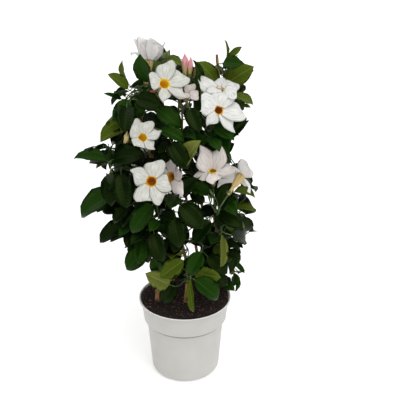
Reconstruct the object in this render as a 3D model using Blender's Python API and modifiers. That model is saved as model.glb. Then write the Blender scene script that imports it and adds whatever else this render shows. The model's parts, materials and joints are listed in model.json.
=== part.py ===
"""Potted mandevilla: a white moulded pot of soil, twining woody stems, and masses of leaves and blossom.

Metres, +Z up. The origin is the middle of the pot's flat underside, and -Y is the front.
"""
import math
import random
from collections import namedtuple

import bmesh
import bpy
from mathutils import Vector
from mathutils.bvhtree import BVHTree

# Driving sizes of the pot
POT_RADIUS = 0.0945
POT_HEIGHT = 0.168
POT_WALL = 0.0020
POT_LIP = 0.0066
POT_LIP_DEPTH = 0.004
LIP_EASE = 0.001
COLLAR_HEIGHT = 0.0475
COLLAR_STEP = 0.004
COLLAR_LEDGE = 0.0022
COLLAR_FLARE = 0.008
COVE_HEIGHT = 0.004
FOOT_RADIUS = 0.0708
BODY_FLARE = 0.0082
FOOT_ROUNDING = 0.012
POT_STEPS = 32
SOIL_BELOW_RIM = 0.0055
GAP = 0.0003

# Driving sizes of the plant
LEAF_LENGTH = 0.070
LEAF_WIDTH = 0.56
LEAF_THICKNESS = 0.0013
LEAF_BEND = 0.55
LEAF_FOLD = 0.22
LEAF_STATIONS = ((0.0, 0.06), (0.22, 0.88), (0.64, 0.92))
PETIOLE = 0.010
TWIG_RADIUS = 0.0021
SHOOT_RADIUS = 0.0015
TIP_RADIUS = 0.0009
SHOOT_POINTS = 4
STALK_POINTS = 5
STALK_SUNK = 0.003
HEART = 0.62
INTERNODE = 0.042
TUBE_LENGTH = 0.050
NECK_LENGTH = 0.018
NECK_RADIUS = 0.0030
FUNNEL_FLOOR = 0.026
THROAT_RADIUS = 0.0105
PETAL_WALL = 0.0011
CLEARANCE = 0.0004
TRIES = 12
WELD = 0.000001
UNION_TRIES = 6
UNION_NUDGE = 0.01
SEED = 17

Stem = namedtuple("Stem", "name foot top foot_radius top_radius turns phase")
Mass = namedtuple("Mass", "name stem height centre reach")
Shoot = namedtuple("Shoot", "mass base tip width pairs", defaults=(1.0, 1.0))
Flower = namedtuple("Flower", "mass throat yaw rise roll width cup")
Bud = namedtuple("Bud", "mass base tip radius")
Leaf = namedtuple("Leaf", "mass root base tip normal width bend")
Twig = namedtuple("Twig", "mass kind path radii pairs", defaults=(1.0,))

STEMS = (
    Stem("stem_left", (-0.055, -0.012), (-0.074, 0.002, 0.652), 0.0050, 0.0027, 3.2, 0.4),
    Stem("stem_right", (0.066, 0.030), (0.064, 0.018, 0.662), 0.0052, 0.0027, 3.0, 2.5),
    Stem("stem_middle", (0.004, -0.020), (-0.006, -0.012, 0.590), 0.0048, 0.0020, 2.6, 4.0),
    Stem("stem_back_left", (-0.028, 0.046), (-0.048, 0.062, 0.600), 0.0044, 0.0020, 2.8, 1.4),
    Stem("stem_back_right", (0.026, 0.052), (0.034, 0.078, 0.580), 0.0044, 0.0020, 2.9, 5.2),
)
STEM_SWAY = 0.006
STEM_POINTS = 18
STEM_FLARE = 1.5

# Each mass: the stem and height that carry it, and the middle and half sizes of its own space
MASSES = (
    Mass("leaves_left_top", "stem_left", 0.585, (-0.085, 0.000, 0.618), (0.075, 0.090, 0.068)),
    Mass("leaves_middle_top", "stem_middle", 0.560, (-0.008, -0.018, 0.620), (0.074, 0.095, 0.082)),
    Mass("leaves_right_top", "stem_right", 0.590, (0.080, -0.005, 0.624), (0.078, 0.095, 0.078)),
    Mass("leaves_left_upper", "stem_left", 0.520, (-0.095, -0.025, 0.550), (0.085, 0.110, 0.080)),
    Mass("leaves_middle_upper", "stem_middle", 0.485, (-0.002, -0.050, 0.535), (0.075, 0.095, 0.085)),
    Mass("leaves_right_upper", "stem_right", 0.500, (0.075, -0.015, 0.535), (0.075, 0.105, 0.070)),
    Mass("leaves_left_middle", "stem_left", 0.440, (-0.118, -0.035, 0.442), (0.112, 0.120, 0.105)),
    Mass("leaves_middle", "stem_middle", 0.400, (-0.020, -0.070, 0.412), (0.100, 0.105, 0.095)),
    Mass("leaves_right_middle", "stem_right", 0.410, (0.092, -0.010, 0.398), (0.090, 0.115, 0.098)),
    Mass("leaves_left_low", "stem_left", 0.340, (-0.092, -0.045, 0.335), (0.095, 0.115, 0.090)),
    Mass("leaves_middle_low", "stem_middle", 0.310, (-0.005, -0.070, 0.325), (0.080, 0.085, 0.085)),
    Mass("leaves_right_low", "stem_right", 0.300, (0.078, -0.010, 0.278), (0.078, 0.110, 0.118)),
    Mass("leaves_foot", "stem_middle", 0.225, (0.002, -0.062, 0.235), (0.105, 0.074, 0.066)),
    Mass("leaves_back_left_top", "stem_back_left", 0.560, (-0.045, 0.100, 0.590), (0.095, 0.080, 0.085)),
    Mass("leaves_back_right_top", "stem_back_right", 0.540, (0.055, 0.105, 0.575), (0.085, 0.080, 0.085)),
    Mass("leaves_back_left_middle", "stem_back_left", 0.430, (-0.070, 0.090, 0.440), (0.095, 0.085, 0.090)),
    Mass("leaves_back_right_middle", "stem_back_right", 0.410, (0.055, 0.100, 0.425), (0.090, 0.085, 0.090)),
    Mass("leaves_back_left_low", "stem_back_left", 0.290, (-0.055, 0.075, 0.295), (0.085, 0.085, 0.085)),
    Mass("leaves_back_right_low", "stem_back_right", 0.280, (0.050, 0.090, 0.285), (0.085, 0.085, 0.085)),
)

# Shoots of the front after the photographed crown, each by the ends of the leaf that closes it and,
# where they differ, the shares of the usual size for that leaf's width and for the pairs below it
FRONT_SHOOTS = (
    Shoot("leaves_left_top", (-0.100, -0.010, 0.606), (-0.135, -0.010, 0.634), 0.8, 0.55),
    Shoot("leaves_left_top", (-0.104, 0.020, 0.612), (-0.113, 0.030, 0.650), 0.7, 0.55),
    Shoot("leaves_left_top", (-0.062, -0.026, 0.622), (-0.072, -0.036, 0.674)),
    Shoot("leaves_left_top", (-0.112, -0.020, 0.590), (-0.140, -0.040, 0.606), 0.45, 0.5),
    Shoot("leaves_middle_top", (-0.030, 0.000, 0.660), (-0.002, -0.020, 0.652), 1.0, 0.6),
    Shoot("leaves_middle_top", (-0.020, 0.012, 0.640), (-0.024, 0.020, 0.672), 0.4, 0.5),
    Shoot("leaves_middle_top", (0.020, -0.010, 0.610), (0.020, -0.030, 0.664), 0.35, 0.5),
    Shoot("leaves_right_top", (0.062, 0.000, 0.612), (0.028, 0.000, 0.654)),
    Shoot("leaves_right_top", (0.076, 0.006, 0.610), (0.128, 0.000, 0.645)),
    Shoot("leaves_right_top", (0.082, 0.030, 0.650), (0.108, 0.036, 0.674), 0.5, 0.45),
    Shoot("leaves_right_top", (0.080, 0.026, 0.656), (0.076, 0.030, 0.688), 0.55, 0.5),
    Shoot("leaves_right_top", (0.090, -0.020, 0.597), (0.128, -0.026, 0.582)),
    Shoot("leaves_left_upper", (-0.094, -0.040, 0.592), (-0.122, -0.064, 0.560)),
    Shoot("leaves_left_upper", (-0.100, -0.030, 0.540), (-0.150, -0.052, 0.520)),
    Shoot("leaves_left_upper", (-0.082, -0.060, 0.600), (-0.035, -0.075, 0.592)),
    Shoot("leaves_left_upper", (-0.112, 0.000, 0.552), (-0.150, 0.006, 0.528)),
    Shoot("leaves_middle_upper", (-0.046, -0.056, 0.582), (-0.002, -0.066, 0.550)),
    Shoot("leaves_middle_upper", (-0.040, -0.070, 0.548), (0.004, -0.086, 0.530)),
    Shoot("leaves_middle_upper", (-0.020, -0.090, 0.535), (0.008, -0.102, 0.486)),
    Shoot("leaves_middle_upper", (0.003, -0.086, 0.490), (0.032, -0.096, 0.536)),
    Shoot("leaves_middle_upper", (0.012, -0.060, 0.585), (0.030, -0.086, 0.548)),
    Shoot("leaves_right_upper", (0.075, -0.040, 0.515), (0.118, -0.052, 0.560), 0.5),
    Shoot("leaves_right_upper", (0.054, -0.050, 0.548), (0.092, -0.074, 0.530)),
    Shoot("leaves_right_upper", (0.102, -0.020, 0.577), (0.124, -0.020, 0.574), 0.6, 0.5),
    Shoot("leaves_left_middle", (-0.137, -0.050, 0.481), (-0.205, -0.032, 0.481), 0.8),
    Shoot("leaves_left_middle", (-0.128, -0.062, 0.488), (-0.068, -0.084, 0.506)),
    Shoot("leaves_left_middle", (-0.112, -0.076, 0.468), (-0.100, -0.112, 0.414)),
    Shoot("leaves_left_middle", (-0.127, -0.054, 0.419), (-0.198, -0.050, 0.369), 0.9),
    Shoot("leaves_middle", (-0.028, -0.102, 0.444), (-0.030, -0.126, 0.392)),
    Shoot("leaves_middle", (-0.006, -0.092, 0.412), (0.036, -0.112, 0.374)),
    Shoot("leaves_middle", (0.008, -0.060, 0.438), (0.050, -0.062, 0.424)),
    Shoot("leaves_middle", (-0.058, -0.092, 0.408), (-0.096, -0.114, 0.356)),
    Shoot("leaves_right_middle", (0.066, -0.050, 0.378), (0.112, -0.070, 0.356)),
    Shoot("leaves_right_middle", (0.100, -0.010, 0.368), (0.140, -0.012, 0.362)),
    Shoot("leaves_right_middle", (0.112, 0.010, 0.352), (0.153, 0.010, 0.314), 0.36, 0.6),
    Shoot("leaves_right_middle", (0.096, -0.012, 0.404), (0.138, -0.016, 0.394)),
    Shoot("leaves_left_low", (-0.100, -0.050, 0.357), (-0.162, -0.060, 0.320), 0.85),
    Shoot("leaves_left_low", (-0.098, -0.070, 0.402), (-0.130, -0.080, 0.370)),
    Shoot("leaves_left_low", (-0.067, -0.070, 0.313), (-0.110, -0.082, 0.272)),
    Shoot("leaves_left_low", (-0.097, -0.026, 0.332), (-0.146, -0.030, 0.306), 0.5),
    Shoot("leaves_left_low", (-0.062, -0.104, 0.362), (-0.036, -0.136, 0.310)),
    Shoot("leaves_middle_low", (-0.013, -0.100, 0.398), (-0.002, -0.124, 0.336)),
    Shoot("leaves_middle_low", (0.050, -0.082, 0.376), (0.020, -0.104, 0.340)),
    Shoot("leaves_middle_low", (0.000, -0.092, 0.298), (-0.044, -0.104, 0.268)),
    Shoot("leaves_middle_low", (0.034, -0.078, 0.310), (0.010, -0.090, 0.266)),
    Shoot("leaves_right_low", (0.071, -0.064, 0.340), (0.070, -0.076, 0.272), 0.35),
    Shoot("leaves_right_low", (0.090, -0.010, 0.262), (0.122, -0.012, 0.226), 0.38, 0.6),
    Shoot("leaves_right_low", (0.098, 0.000, 0.222), (0.104, -0.004, 0.178), 0.4, 0.5),
    Shoot("leaves_right_low", (0.082, -0.030, 0.310), (0.107, -0.036, 0.291), 0.6, 0.6),
    Shoot("leaves_right_low", (0.044, -0.054, 0.288), (0.084, -0.068, 0.256)),
    Shoot("leaves_foot", (-0.028, -0.082, 0.240), (-0.072, -0.092, 0.270)),
    Shoot("leaves_foot", (0.013, -0.092, 0.258), (0.018, -0.104, 0.190), 0.35),
    Shoot("leaves_foot", (0.020, -0.090, 0.256), (0.066, -0.094, 0.214)),
    Shoot("leaves_foot", (-0.020, -0.058, 0.236), (-0.042, -0.070, 0.190)),
    Shoot("leaves_foot", (0.040, -0.050, 0.244), (0.086, -0.058, 0.226)),
)
BACK_SHOOTS_PER_MASS = 3
FILLING_SHOOTS = 20
VIEW_SHOOTS = 130
VIEW_CELL = 0.006
PLACES_TRIED = 24
FILL_SHARE = 0.9
FACE_SHARE = 0.42

# Where the crown ends and where the sky shows through it, seen from the photograph's place: points
# and circles on the upright plane y = 0
VIEWER = (0.031, -1.300, 0.942)
CROWN_OUTLINE = (
    (-0.079, 0.703), (-0.052, 0.706), (-0.030, 0.687), (-0.023, 0.676), (-0.001, 0.657),
    (0.013, 0.675), (0.026, 0.644), (0.036, 0.655), (0.058, 0.649), (0.072, 0.660),
    (0.076, 0.682), (0.092, 0.683), (0.108, 0.669), (0.105, 0.653), (0.129, 0.644),
    (0.126, 0.624), (0.110, 0.607), (0.126, 0.596), (0.129, 0.567), (0.120, 0.558),
    (0.120, 0.540), (0.106, 0.517), (0.088, 0.483), (0.088, 0.457), (0.102, 0.457),
    (0.118, 0.471), (0.145, 0.399),
    (0.126, 0.399), (0.137, 0.369), (0.135, 0.348), (0.152, 0.315), (0.129, 0.300),
    (0.113, 0.268), (0.125, 0.220), (0.107, 0.211), (0.105, 0.178), (0.085, 0.173),
    (0.068, 0.192), (-0.071, 0.211), (-0.082, 0.245), (-0.111, 0.229), (-0.122, 0.259),
    (-0.117, 0.291), (-0.171, 0.291), (-0.159, 0.328), (-0.115, 0.344), (-0.158, 0.352),
    (-0.209, 0.346), (-0.203, 0.382), (-0.157, 0.412), (-0.149, 0.441), (-0.183, 0.455),
    (-0.214, 0.475), (-0.184, 0.495), (-0.137, 0.497), (-0.155, 0.517), (-0.135, 0.544),
    (-0.132, 0.569), (-0.145, 0.598), (-0.123, 0.605), (-0.139, 0.633), (-0.112, 0.644),
    (-0.104, 0.624), (-0.095, 0.607), (-0.084, 0.609),
    (-0.077, 0.653),
)
OPENINGS = (
    (-0.063, 0.562, 0.008), (-0.019, 0.565, 0.006), (0.001, 0.535, 0.006), (0.014, 0.535, 0.006),
    (-0.063, 0.359, 0.009), (-0.071, 0.352, 0.006), (-0.011, 0.356, 0.009), (-0.045, 0.298, 0.009),
    (0.018, 0.312, 0.008), (0.017, 0.266, 0.010), (0.031, 0.376, 0.010), (0.047, 0.335, 0.010),
    (0.054, 0.376, 0.008), (0.023, 0.397, 0.008), (0.038, 0.633, 0.008),
)

# Open flowers: yaw turns the face from the front towards +X, rise tips it up
FLOWERS = (
    Flower("leaves_left_top", (-0.061, 0.000, 0.658), 160, 74, 20, 0.050, 0.037),
    Flower("leaves_middle_top", (-0.030, -0.075, 0.632), 18, 30, 88, 0.078, 0.013),
    Flower("leaves_middle_top", (0.004, -0.030, 0.604), -6, 44, 40, 0.058, 0.012),
    Flower("leaves_right_top", (0.064, -0.065, 0.582), 10, 24, 93, 0.084, 0.014),
    Flower("leaves_right_top", (0.067, -0.040, 0.614), -10, 50, 60, 0.068, 0.012),
    Flower("leaves_left_upper", (-0.069, -0.090, 0.540), 26, 38, 100, 0.060, 0.017),
    Flower("leaves_left_middle", (-0.054, -0.122, 0.470), 0, 23, 80, 0.074, 0.010),
    Flower("leaves_left_middle", (-0.022, -0.086, 0.464), -38, 20, 70, 0.078, 0.012),
    Flower("leaves_right_middle", (0.054, -0.085, 0.475), -4, 54, 54, 0.076, 0.027),
    Flower("leaves_right_middle", (0.106, -0.056, 0.454), 148, 24, 80, 0.072, 0.012),
    Flower("leaves_back_left_top", (-0.050, 0.150, 0.560), -168, 36, 30, 0.078, 0.014),
    Flower("leaves_back_right_top", (0.060, 0.165, 0.520), 165, 24, 70, 0.080, 0.012),
    Flower("leaves_back_left_middle", (-0.085, 0.155, 0.420), -160, 22, 50, 0.080, 0.012),
    Flower("leaves_back_right_middle", (0.075, 0.160, 0.360), 152, 30, 10, 0.078, 0.014),
)
PETALS = 5
PETAL_OUTLINE = (0.74, 0.97, 1.00)

# Closed buds, each a spindle
BUDS = (
    Bud("leaves_middle_top", (0.004, -0.006, 0.628), (0.004, -0.010, 0.674), 0.0062),
    Bud("leaves_middle_top", (0.012, -0.010, 0.628), (0.015, -0.012, 0.668), 0.0046),
    Bud("leaves_left_upper", (-0.104, -0.060, 0.512), (-0.098, -0.066, 0.546), 0.0042),
    Bud("leaves_back_right_top", (0.020, 0.150, 0.560), (0.020, 0.166, 0.596), 0.0042),
)
BUD_SIDES = 5


def smooth(t):
    """Ease from 0 to 1 with level ends."""
    t = min(max(t, 0.0), 1.0)
    return t * t * (3.0 - 2.0 * t)


def mix(a, b, t):
    return a + (b - a) * t


def cubic(start, first, second, end, count):
    """Points along a cubic curve from its ends and two handles."""
    points = []
    for i in range(count):
        t = i / (count - 1)
        s = 1.0 - t
        points.append(start * s ** 3 + first * 3 * s * s * t + second * 3 * s * t * t + end * t ** 3)
    return points


def across(vector, axis):
    """The part of a vector that is square to an axis, at unit length."""
    return (vector - axis * vector.dot(axis)).normalized()


def wobble(rng, size):
    return Vector([rng.uniform(-size, size) for _ in range(3)])


def loft(rings):
    """Points and triangles of a closed skin over rings; a ring of one point closes it to a tip.

    Each four-sided gap is split along its shorter diagonal, so both sides of a thin wall split alike.
    """
    points = [point for ring in rings for point in ring]
    faces = []
    start = 0
    for ring, after in zip(rings, rings[1:]):
        n, m = len(ring), len(after)
        for i in range(max(n, m)):
            a, b = start + i % n, start + (i + 1) % n
            c, d = start + n + (i + 1) % m, start + n + i % m
            if a == b:
                faces.append((a, c, d))
            elif c == d:
                faces.append((a, b, c))
            elif (points[a] - points[c]).length <= (points[b] - points[d]).length:
                faces += [(a, b, c), (a, c, d)]
            else:
                faces += [(a, b, d), (b, c, d)]
        start += n
    first, last = len(rings[0]), len(rings[-1])
    faces += [(0, i + 1, i) for i in range(1, first - 1)]
    end = len(points) - last
    faces += [(end, end + i, end + i + 1) for i in range(1, last - 1)]
    return points, faces


def tube(path, radii, sides=3):
    """A tapering tube of a few sides along a path."""
    rings = []
    side = None
    for i, point in enumerate(path):
        ahead = (path[min(i + 1, len(path) - 1)] - path[max(i - 1, 0)]).normalized()
        if side is None:
            side = ahead.orthogonal().normalized()
        side = across(side, ahead)
        up = ahead.cross(side)
        turns = [2 * math.pi * k / sides for k in range(sides)]
        rings.append([point + (side * math.cos(a) + up * math.sin(a)) * radii[i] for a in turns])
    return loft(rings)


def stem_path(stem, count=STEM_POINTS):
    """A stem's axis: it leaves the soil upright, then twines as it leans towards its top."""
    foot = Vector((*stem.foot, POT_HEIGHT - SOIL_BELOW_RIM + GAP))
    top = Vector(stem.top)
    points = []
    for i in range(count):
        t = i / (count - 1)
        turn = stem.phase + 2 * math.pi * stem.turns * t
        sway = STEM_SWAY * smooth(t * 4) * (1.0 - 0.5 * smooth(t * 2 - 1))
        point = mix(foot, top, t)
        lean = smooth(t * 5) * t
        point.x = mix(foot.x, top.x, lean) + sway * math.cos(turn)
        point.y = mix(foot.y, top.y, lean) + sway * math.sin(turn)
        points.append(point)
    points[1].x, points[1].y = foot.x, foot.y
    return points


def stem_radii(stem, count=STEM_POINTS):
    """A stem's taper, with a flare over the last few centimetres above the soil."""
    radii = []
    for i in range(count):
        t = i / (count - 1)
        flare = 1.0 + (STEM_FLARE - 1.0) * (1.0 - smooth(t * 12))
        radii.append(mix(stem.foot_radius, stem.top_radius, t ** 0.8) * flare)
    return radii


def stem_skin(stem):
    """A stem as points and faces, from a curve with a round bevel and filled caps."""
    curve = bpy.data.curves.new(stem.name, "CURVE")
    curve.dimensions = "3D"
    curve.bevel_depth = 1.0
    curve.bevel_resolution = 1
    curve.use_fill_caps = True
    spline = curve.splines.new("POLY")
    path, radii = stem_path(stem), stem_radii(stem)
    spline.points.add(len(path) - 1)
    for place, point, radius in zip(spline.points, path, radii):
        place.co = (*point, 1.0)
        place.radius = radius
    guide = bpy.data.objects.new(stem.name, curve)
    bpy.context.scene.collection.objects.link(guide)
    evaluated = guide.evaluated_get(bpy.context.evaluated_depsgraph_get())
    mesh = bpy.data.meshes.new_from_object(evaluated)
    bpy.data.objects.remove(guide)
    bpy.data.curves.remove(curve)
    form = bmesh.new()
    form.from_mesh(mesh)
    bpy.data.meshes.remove(mesh)
    bmesh.ops.remove_doubles(form, verts=form.verts, dist=0.00001)
    form.verts.index_update()
    points = [vert.co.copy() for vert in form.verts]
    faces = [[vert.index for vert in face.verts] for face in form.faces]
    form.free()
    return points, faces


def leaf_frame(leaf):
    """Start direction, upper side, side direction and arc length of a leaf's bowed midrib."""
    chord = leaf.tip - leaf.base
    up = across(leaf.normal, chord.normalized())
    half = leaf.bend / 2
    ahead = chord.normalized() * math.cos(half) + up * math.sin(half)
    normal = up * math.cos(half) - chord.normalized() * math.sin(half)
    length = chord.length * half / math.sin(half)
    return ahead, normal, normal.cross(ahead), length


def midrib(leaf, frame, u):
    """Place, direction and upper side along the midrib, u from 0 at the base to 1 at the tip."""
    ahead, normal, _, length = frame
    turn = leaf.bend * u
    reach = length / leaf.bend
    place = leaf.base + ahead * (reach * math.sin(turn)) - normal * (reach * (1 - math.cos(turn)))
    heading = ahead * math.cos(turn) - normal * math.sin(turn)
    upper = normal * math.cos(turn) + ahead * math.sin(turn)
    return place, heading, upper


def leaf_skin(leaf, swell=0.0, stalk=True):
    """A leaf as a bowed, folded blade of three-cornered sections on its stalk."""
    frame = leaf_frame(leaf)
    side = frame[2]
    rings = [[leaf.root if stalk else leaf.base]]
    for u, share in LEAF_STATIONS:
        place, _, up = midrib(leaf, frame, u)
        half = leaf.width * share / 2 + swell
        lift = up * (half * LEAF_FOLD)
        keel = place - up * (LEAF_THICKNESS * min(1.0, 0.6 + u * 2) + swell)
        rings.append([place + side * half + lift, place - side * half + lift, keel])
    rings.append([midrib(leaf, frame, 1.0)[0]])
    return loft(rings)


def flower_axes(flower):
    """Facing direction of a flower and the two directions of its face, turned by its roll."""
    yaw, rise = math.radians(flower.yaw), math.radians(flower.rise)
    face = Vector((math.sin(yaw) * math.cos(rise), -math.cos(yaw) * math.cos(rise), math.sin(rise)))
    right = Vector((math.cos(yaw), math.sin(yaw), 0.0))
    up = face.cross(right)
    roll = math.radians(flower.roll)
    return face, right * math.cos(roll) + up * math.sin(roll), up * math.cos(roll) - right * math.sin(roll)


def flower_skin(flower, swell=0.0):
    """A funnel flower: a narrow tube that widens to a throat, and a limb of five skewed petals."""
    face, first, second = flower_axes(flower)
    foot = Vector(flower.throat) - face * TUBE_LENGTH
    count = PETALS * len(PETAL_OUTLINE)

    def ring(height, radius, lobes):
        points = []
        for k in range(count):
            turn = 2 * math.pi * (k - 2) / count
            share = PETAL_OUTLINE[k % len(PETAL_OUTLINE)] if lobes else 1.0
            spoke = first * math.cos(turn) + second * math.sin(turn)
            points.append(foot + face * height + spoke * (radius * share))
        return points

    wall = PETAL_WALL / 2 + swell
    limb = TUBE_LENGTH + flower.cup
    radius = flower.width / 2
    throat = THROAT_RADIUS
    rings = [
        [foot - face * swell],
        ring(NECK_LENGTH, NECK_RADIUS + swell, False),
        ring(TUBE_LENGTH, throat + wall, False),
        ring(limb, radius + swell, True),
        ring(TUBE_LENGTH + wall, throat - wall, False),
        [foot + face * (FUNNEL_FLOOR - swell)],
    ]
    return loft(rings)


def bud_skin(bud, swell=0.0):
    """A closed bud: a spindle of furled petals with a drawn-out point."""
    base, tip = Vector(bud.base), Vector(bud.tip)
    shares = (0.45, 0.9, 1.0, 0.5, 0.1)
    path = [mix(base, tip, i / (len(shares) - 1)) for i in range(len(shares))]
    return tube(path, [bud.radius * share + swell for share in shares], BUD_SIDES)


def bloom_skin(bloom, swell=0.0):
    return flower_skin(bloom, swell) if isinstance(bloom, Flower) else bud_skin(bloom, swell)


def bloom_seat(bloom):
    """The foot of a flower's tube or of a bud, and the way it points."""
    if isinstance(bloom, Flower):
        face = flower_axes(bloom)[0]
        return Vector(bloom.throat) - face * TUBE_LENGTH, face
    base = Vector(bloom.base)
    return base, (Vector(bloom.tip) - base).normalized()


class Crown:
    """All that has grown so far, each piece a little swollen so that the next ones stay clear of it."""

    def __init__(self):
        self.pieces = []

    @staticmethod
    def box(points):
        low = [min(point[k] for point in points) for k in range(3)]
        high = [max(point[k] for point in points) for k in range(3)]
        return low, high

    def add(self, owner, kind, skin):
        self.pieces.append((owner, kind, self.box(skin[0]), BVHTree.FromPolygons(*skin)))

    def clear(self, skin, skip=lambda owner, kind: False):
        """True where the skin crosses no piece, apart from those that skip passes over."""
        low, high = self.box(skin[0])
        tree = None
        for owner, kind, (other_low, other_high), other in self.pieces:
            if skip(owner, kind):
                continue
            if any(low[k] > other_high[k] or high[k] < other_low[k] for k in range(3)):
                continue
            tree = tree or BVHTree.FromPolygons(*skin)
            if tree.overlap(other):
                return False
        return True


def in_space(mass, points, share=1.0):
    """True where every point lies in the ellipsoid that is the mass's own space, or a share of it."""
    centre = Vector(mass.centre)
    for point in points:
        offset = point - centre
        if sum((offset[k] / mass.reach[k]) ** 2 for k in range(3)) > share * share:
            return False
    return True


def seen_at(point):
    """Where the line of sight from the photograph's place through a point crosses the plane y = 0."""
    viewer = Vector(VIEWER)
    spot = viewer + (point - viewer) * (viewer.y / (viewer.y - point.y))
    return Vector((spot.x, spot.z))


def in_outline(spot):
    """True where a spot on the plane lies inside the crown's outline."""
    inside = False
    for (x0, z0), (x1, z1) in zip(CROWN_OUTLINE, CROWN_OUTLINE[1:] + CROWN_OUTLINE[:1]):
        if (z0 > spot.y) != (z1 > spot.y) and spot.x < x0 + (x1 - x0) * (spot.y - z0) / (z1 - z0):
            inside = not inside
    return inside


def hides_bloom(points):
    """True where a point stands before a flower or bud of the front, seen from the photograph's place."""
    for bloom in FLOWERS + BUDS:
        if isinstance(bloom, Flower):
            middle, reach = Vector(bloom.throat), bloom.width * FACE_SHARE
        else:
            middle, reach = mix(Vector(bloom.base), Vector(bloom.tip), 0.6), bloom.radius * 2
        if middle.y < 0.05:
            spot = seen_at(middle)
            if any(point.y < middle.y and (seen_at(point) - spot).length < reach for point in points):
                return True
    return False


def fits_photo(leaf, points):
    """True where a leaf stays inside the crown's outline, and hides no opening and no flower."""
    if not all(in_outline(seen_at(point)) for point in points) or hides_bloom(points):
        return False
    base, tip = seen_at(leaf.base), seen_at(leaf.tip)
    for x, z, radius in OPENINGS:
        spot = Vector((x, z))
        share = min(max((spot - base).dot(tip - base) / (tip - base).length_squared, 0.0), 1.0)
        if (base + (tip - base) * share - spot).length < radius + leaf.width * 0.35:
            return False
    return True


def outward(point):
    """Level direction from the crown's upright axis to a point."""
    direction = Vector((point.x, point.y, 0.0))
    return direction.normalized() if direction.length > 0.001 else Vector((0.0, -1.0, 0.0))


def upper_side(point, chord, rng, spread=0.35):
    """A leaf turns its upper side up and out of the crown, and at the front to the lit front."""
    front = smooth((0.06 - point.y) / 0.08)
    wish = outward(point) * mix(0.75, 0.25, front) + Vector((0.0, -0.6 * front, 0.75)) + wobble(rng, spread)
    return across(wish, chord.normalized())


def along(path, distance_from_end):
    """Place and direction on a path, a distance back from its end."""
    left = distance_from_end
    for i in range(len(path) - 1, 0, -1):
        step = path[i] - path[i - 1]
        if left <= step.length or i == 1:
            return path[i] - step.normalized() * min(left, step.length), step.normalized()
        left -= step.length


def path_length(path):
    return sum((b - a).length for a, b in zip(path, path[1:]))


def part_way(path, share):
    """Place and direction at a share of a path's length."""
    return along(path, path_length(path) * (1.0 - share))


def taper(first, last, count):
    return [mix(first, last, i / (count - 1)) for i in range(count)]


def mass_stem(mass, limbs, crown, rng):
    """The one stem of a mass, from a hair's breadth clear of its limb to the heart of the mass."""
    path, radii, skin = limbs[mass.stem]
    at = min(range(len(path)), key=lambda i: abs(path[i].z - mass.height))
    centre = Vector(mass.centre)
    away = centre - path[at]
    away.z = 0.0
    limb = BVHTree.FromPolygons(*skin)
    end = mix(path[at], centre, HEART)
    sizes = taper(TWIG_RADIUS, SHOOT_RADIUS, STALK_POINTS)
    rise = Vector((0.0, 0.0, 0.006))
    for attempt in range(TRIES * 2):
        way = (away.normalized() + wobble(rng, 0.12 * attempt ** 0.5)).normalized()
        offset = radii[at] * 0.86 + GAP
        touching = True
        while touching:
            start = path[at] + way * offset
            points = cubic(start, start + way * 0.012, mix(start, end, 0.6) + rise, end, STALK_POINTS)
            thick = tube(points, [TWIG_RADIUS + GAP / 2] * STALK_POINTS)
            touching = bool(BVHTree.FromPolygons(*thick).overlap(limb))
            offset += GAP / 3
        swollen = tube(points, [size + CLEARANCE for size in sizes])
        if crown.clear(swollen, lambda owner, kind: owner in (mass.name, mass.stem)):
            crown.add(mass.name, "twig", swollen)
            return Twig(mass.name, "stem", points, sizes)
        end = end + wobble(rng, 0.006)
    return None


def grow_shoot(mass, start, heading, shoot, crown, rng):
    """A shoot that leaves a twig of its mass and closes with a leaf, or None where nothing is clear."""
    for attempt in range(TRIES):
        loose = 0.003 * attempt ** 0.5
        base = Vector(shoot.base) + wobble(rng, loose)
        tip = Vector(shoot.tip) + wobble(rng, loose)
        chord = tip - base
        normal = upper_side(base, chord, rng)
        bend = LEAF_BEND * rng.uniform(0.7, 1.2)
        width = chord.length * LEAF_WIDTH * shoot.width * rng.uniform(0.92, 1.12)
        leaf = Leaf(mass.name, base, base, tip, normal, width, bend)
        ahead = leaf_frame(leaf)[0]
        end = base - ahead * PETIOLE
        span = (end - start).length
        lift = Vector((0.0, 0.0, 0.5)) + wobble(rng, 0.15 + 0.1 * attempt)
        first = start + (heading + lift) * (span * 0.33)
        second = end - (ahead + Vector((0.0, 0.0, 0.15))) * (span * 0.30)
        path = cubic(start, first, second, end, SHOOT_POINTS)
        radii = taper(SHOOT_RADIUS, TIP_RADIUS, SHOOT_POINTS)
        swollen = tube(path, [radius + CLEARANCE for radius in radii])
        if not crown.clear(swollen, lambda owner, kind: owner == mass.name and kind != "flower"):
            continue
        leaf = leaf._replace(root=along(path, 0.004)[0])
        whole = leaf_skin(leaf, CLEARANCE)
        if not in_space(mass, whole[0]):
            continue
        if shoot not in FRONT_SHOOTS and not fits_photo(leaf, whole[0] + path):
            continue
        if crown.clear(whole, lambda owner, kind: owner == mass.name and kind == "twig"):
            crown.add(mass.name, "twig", swollen)
            crown.add(mass.name, "leaf", whole)
            return Twig(mass.name, "shoot", path, radii, shoot.pairs), leaf
    return None


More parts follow.
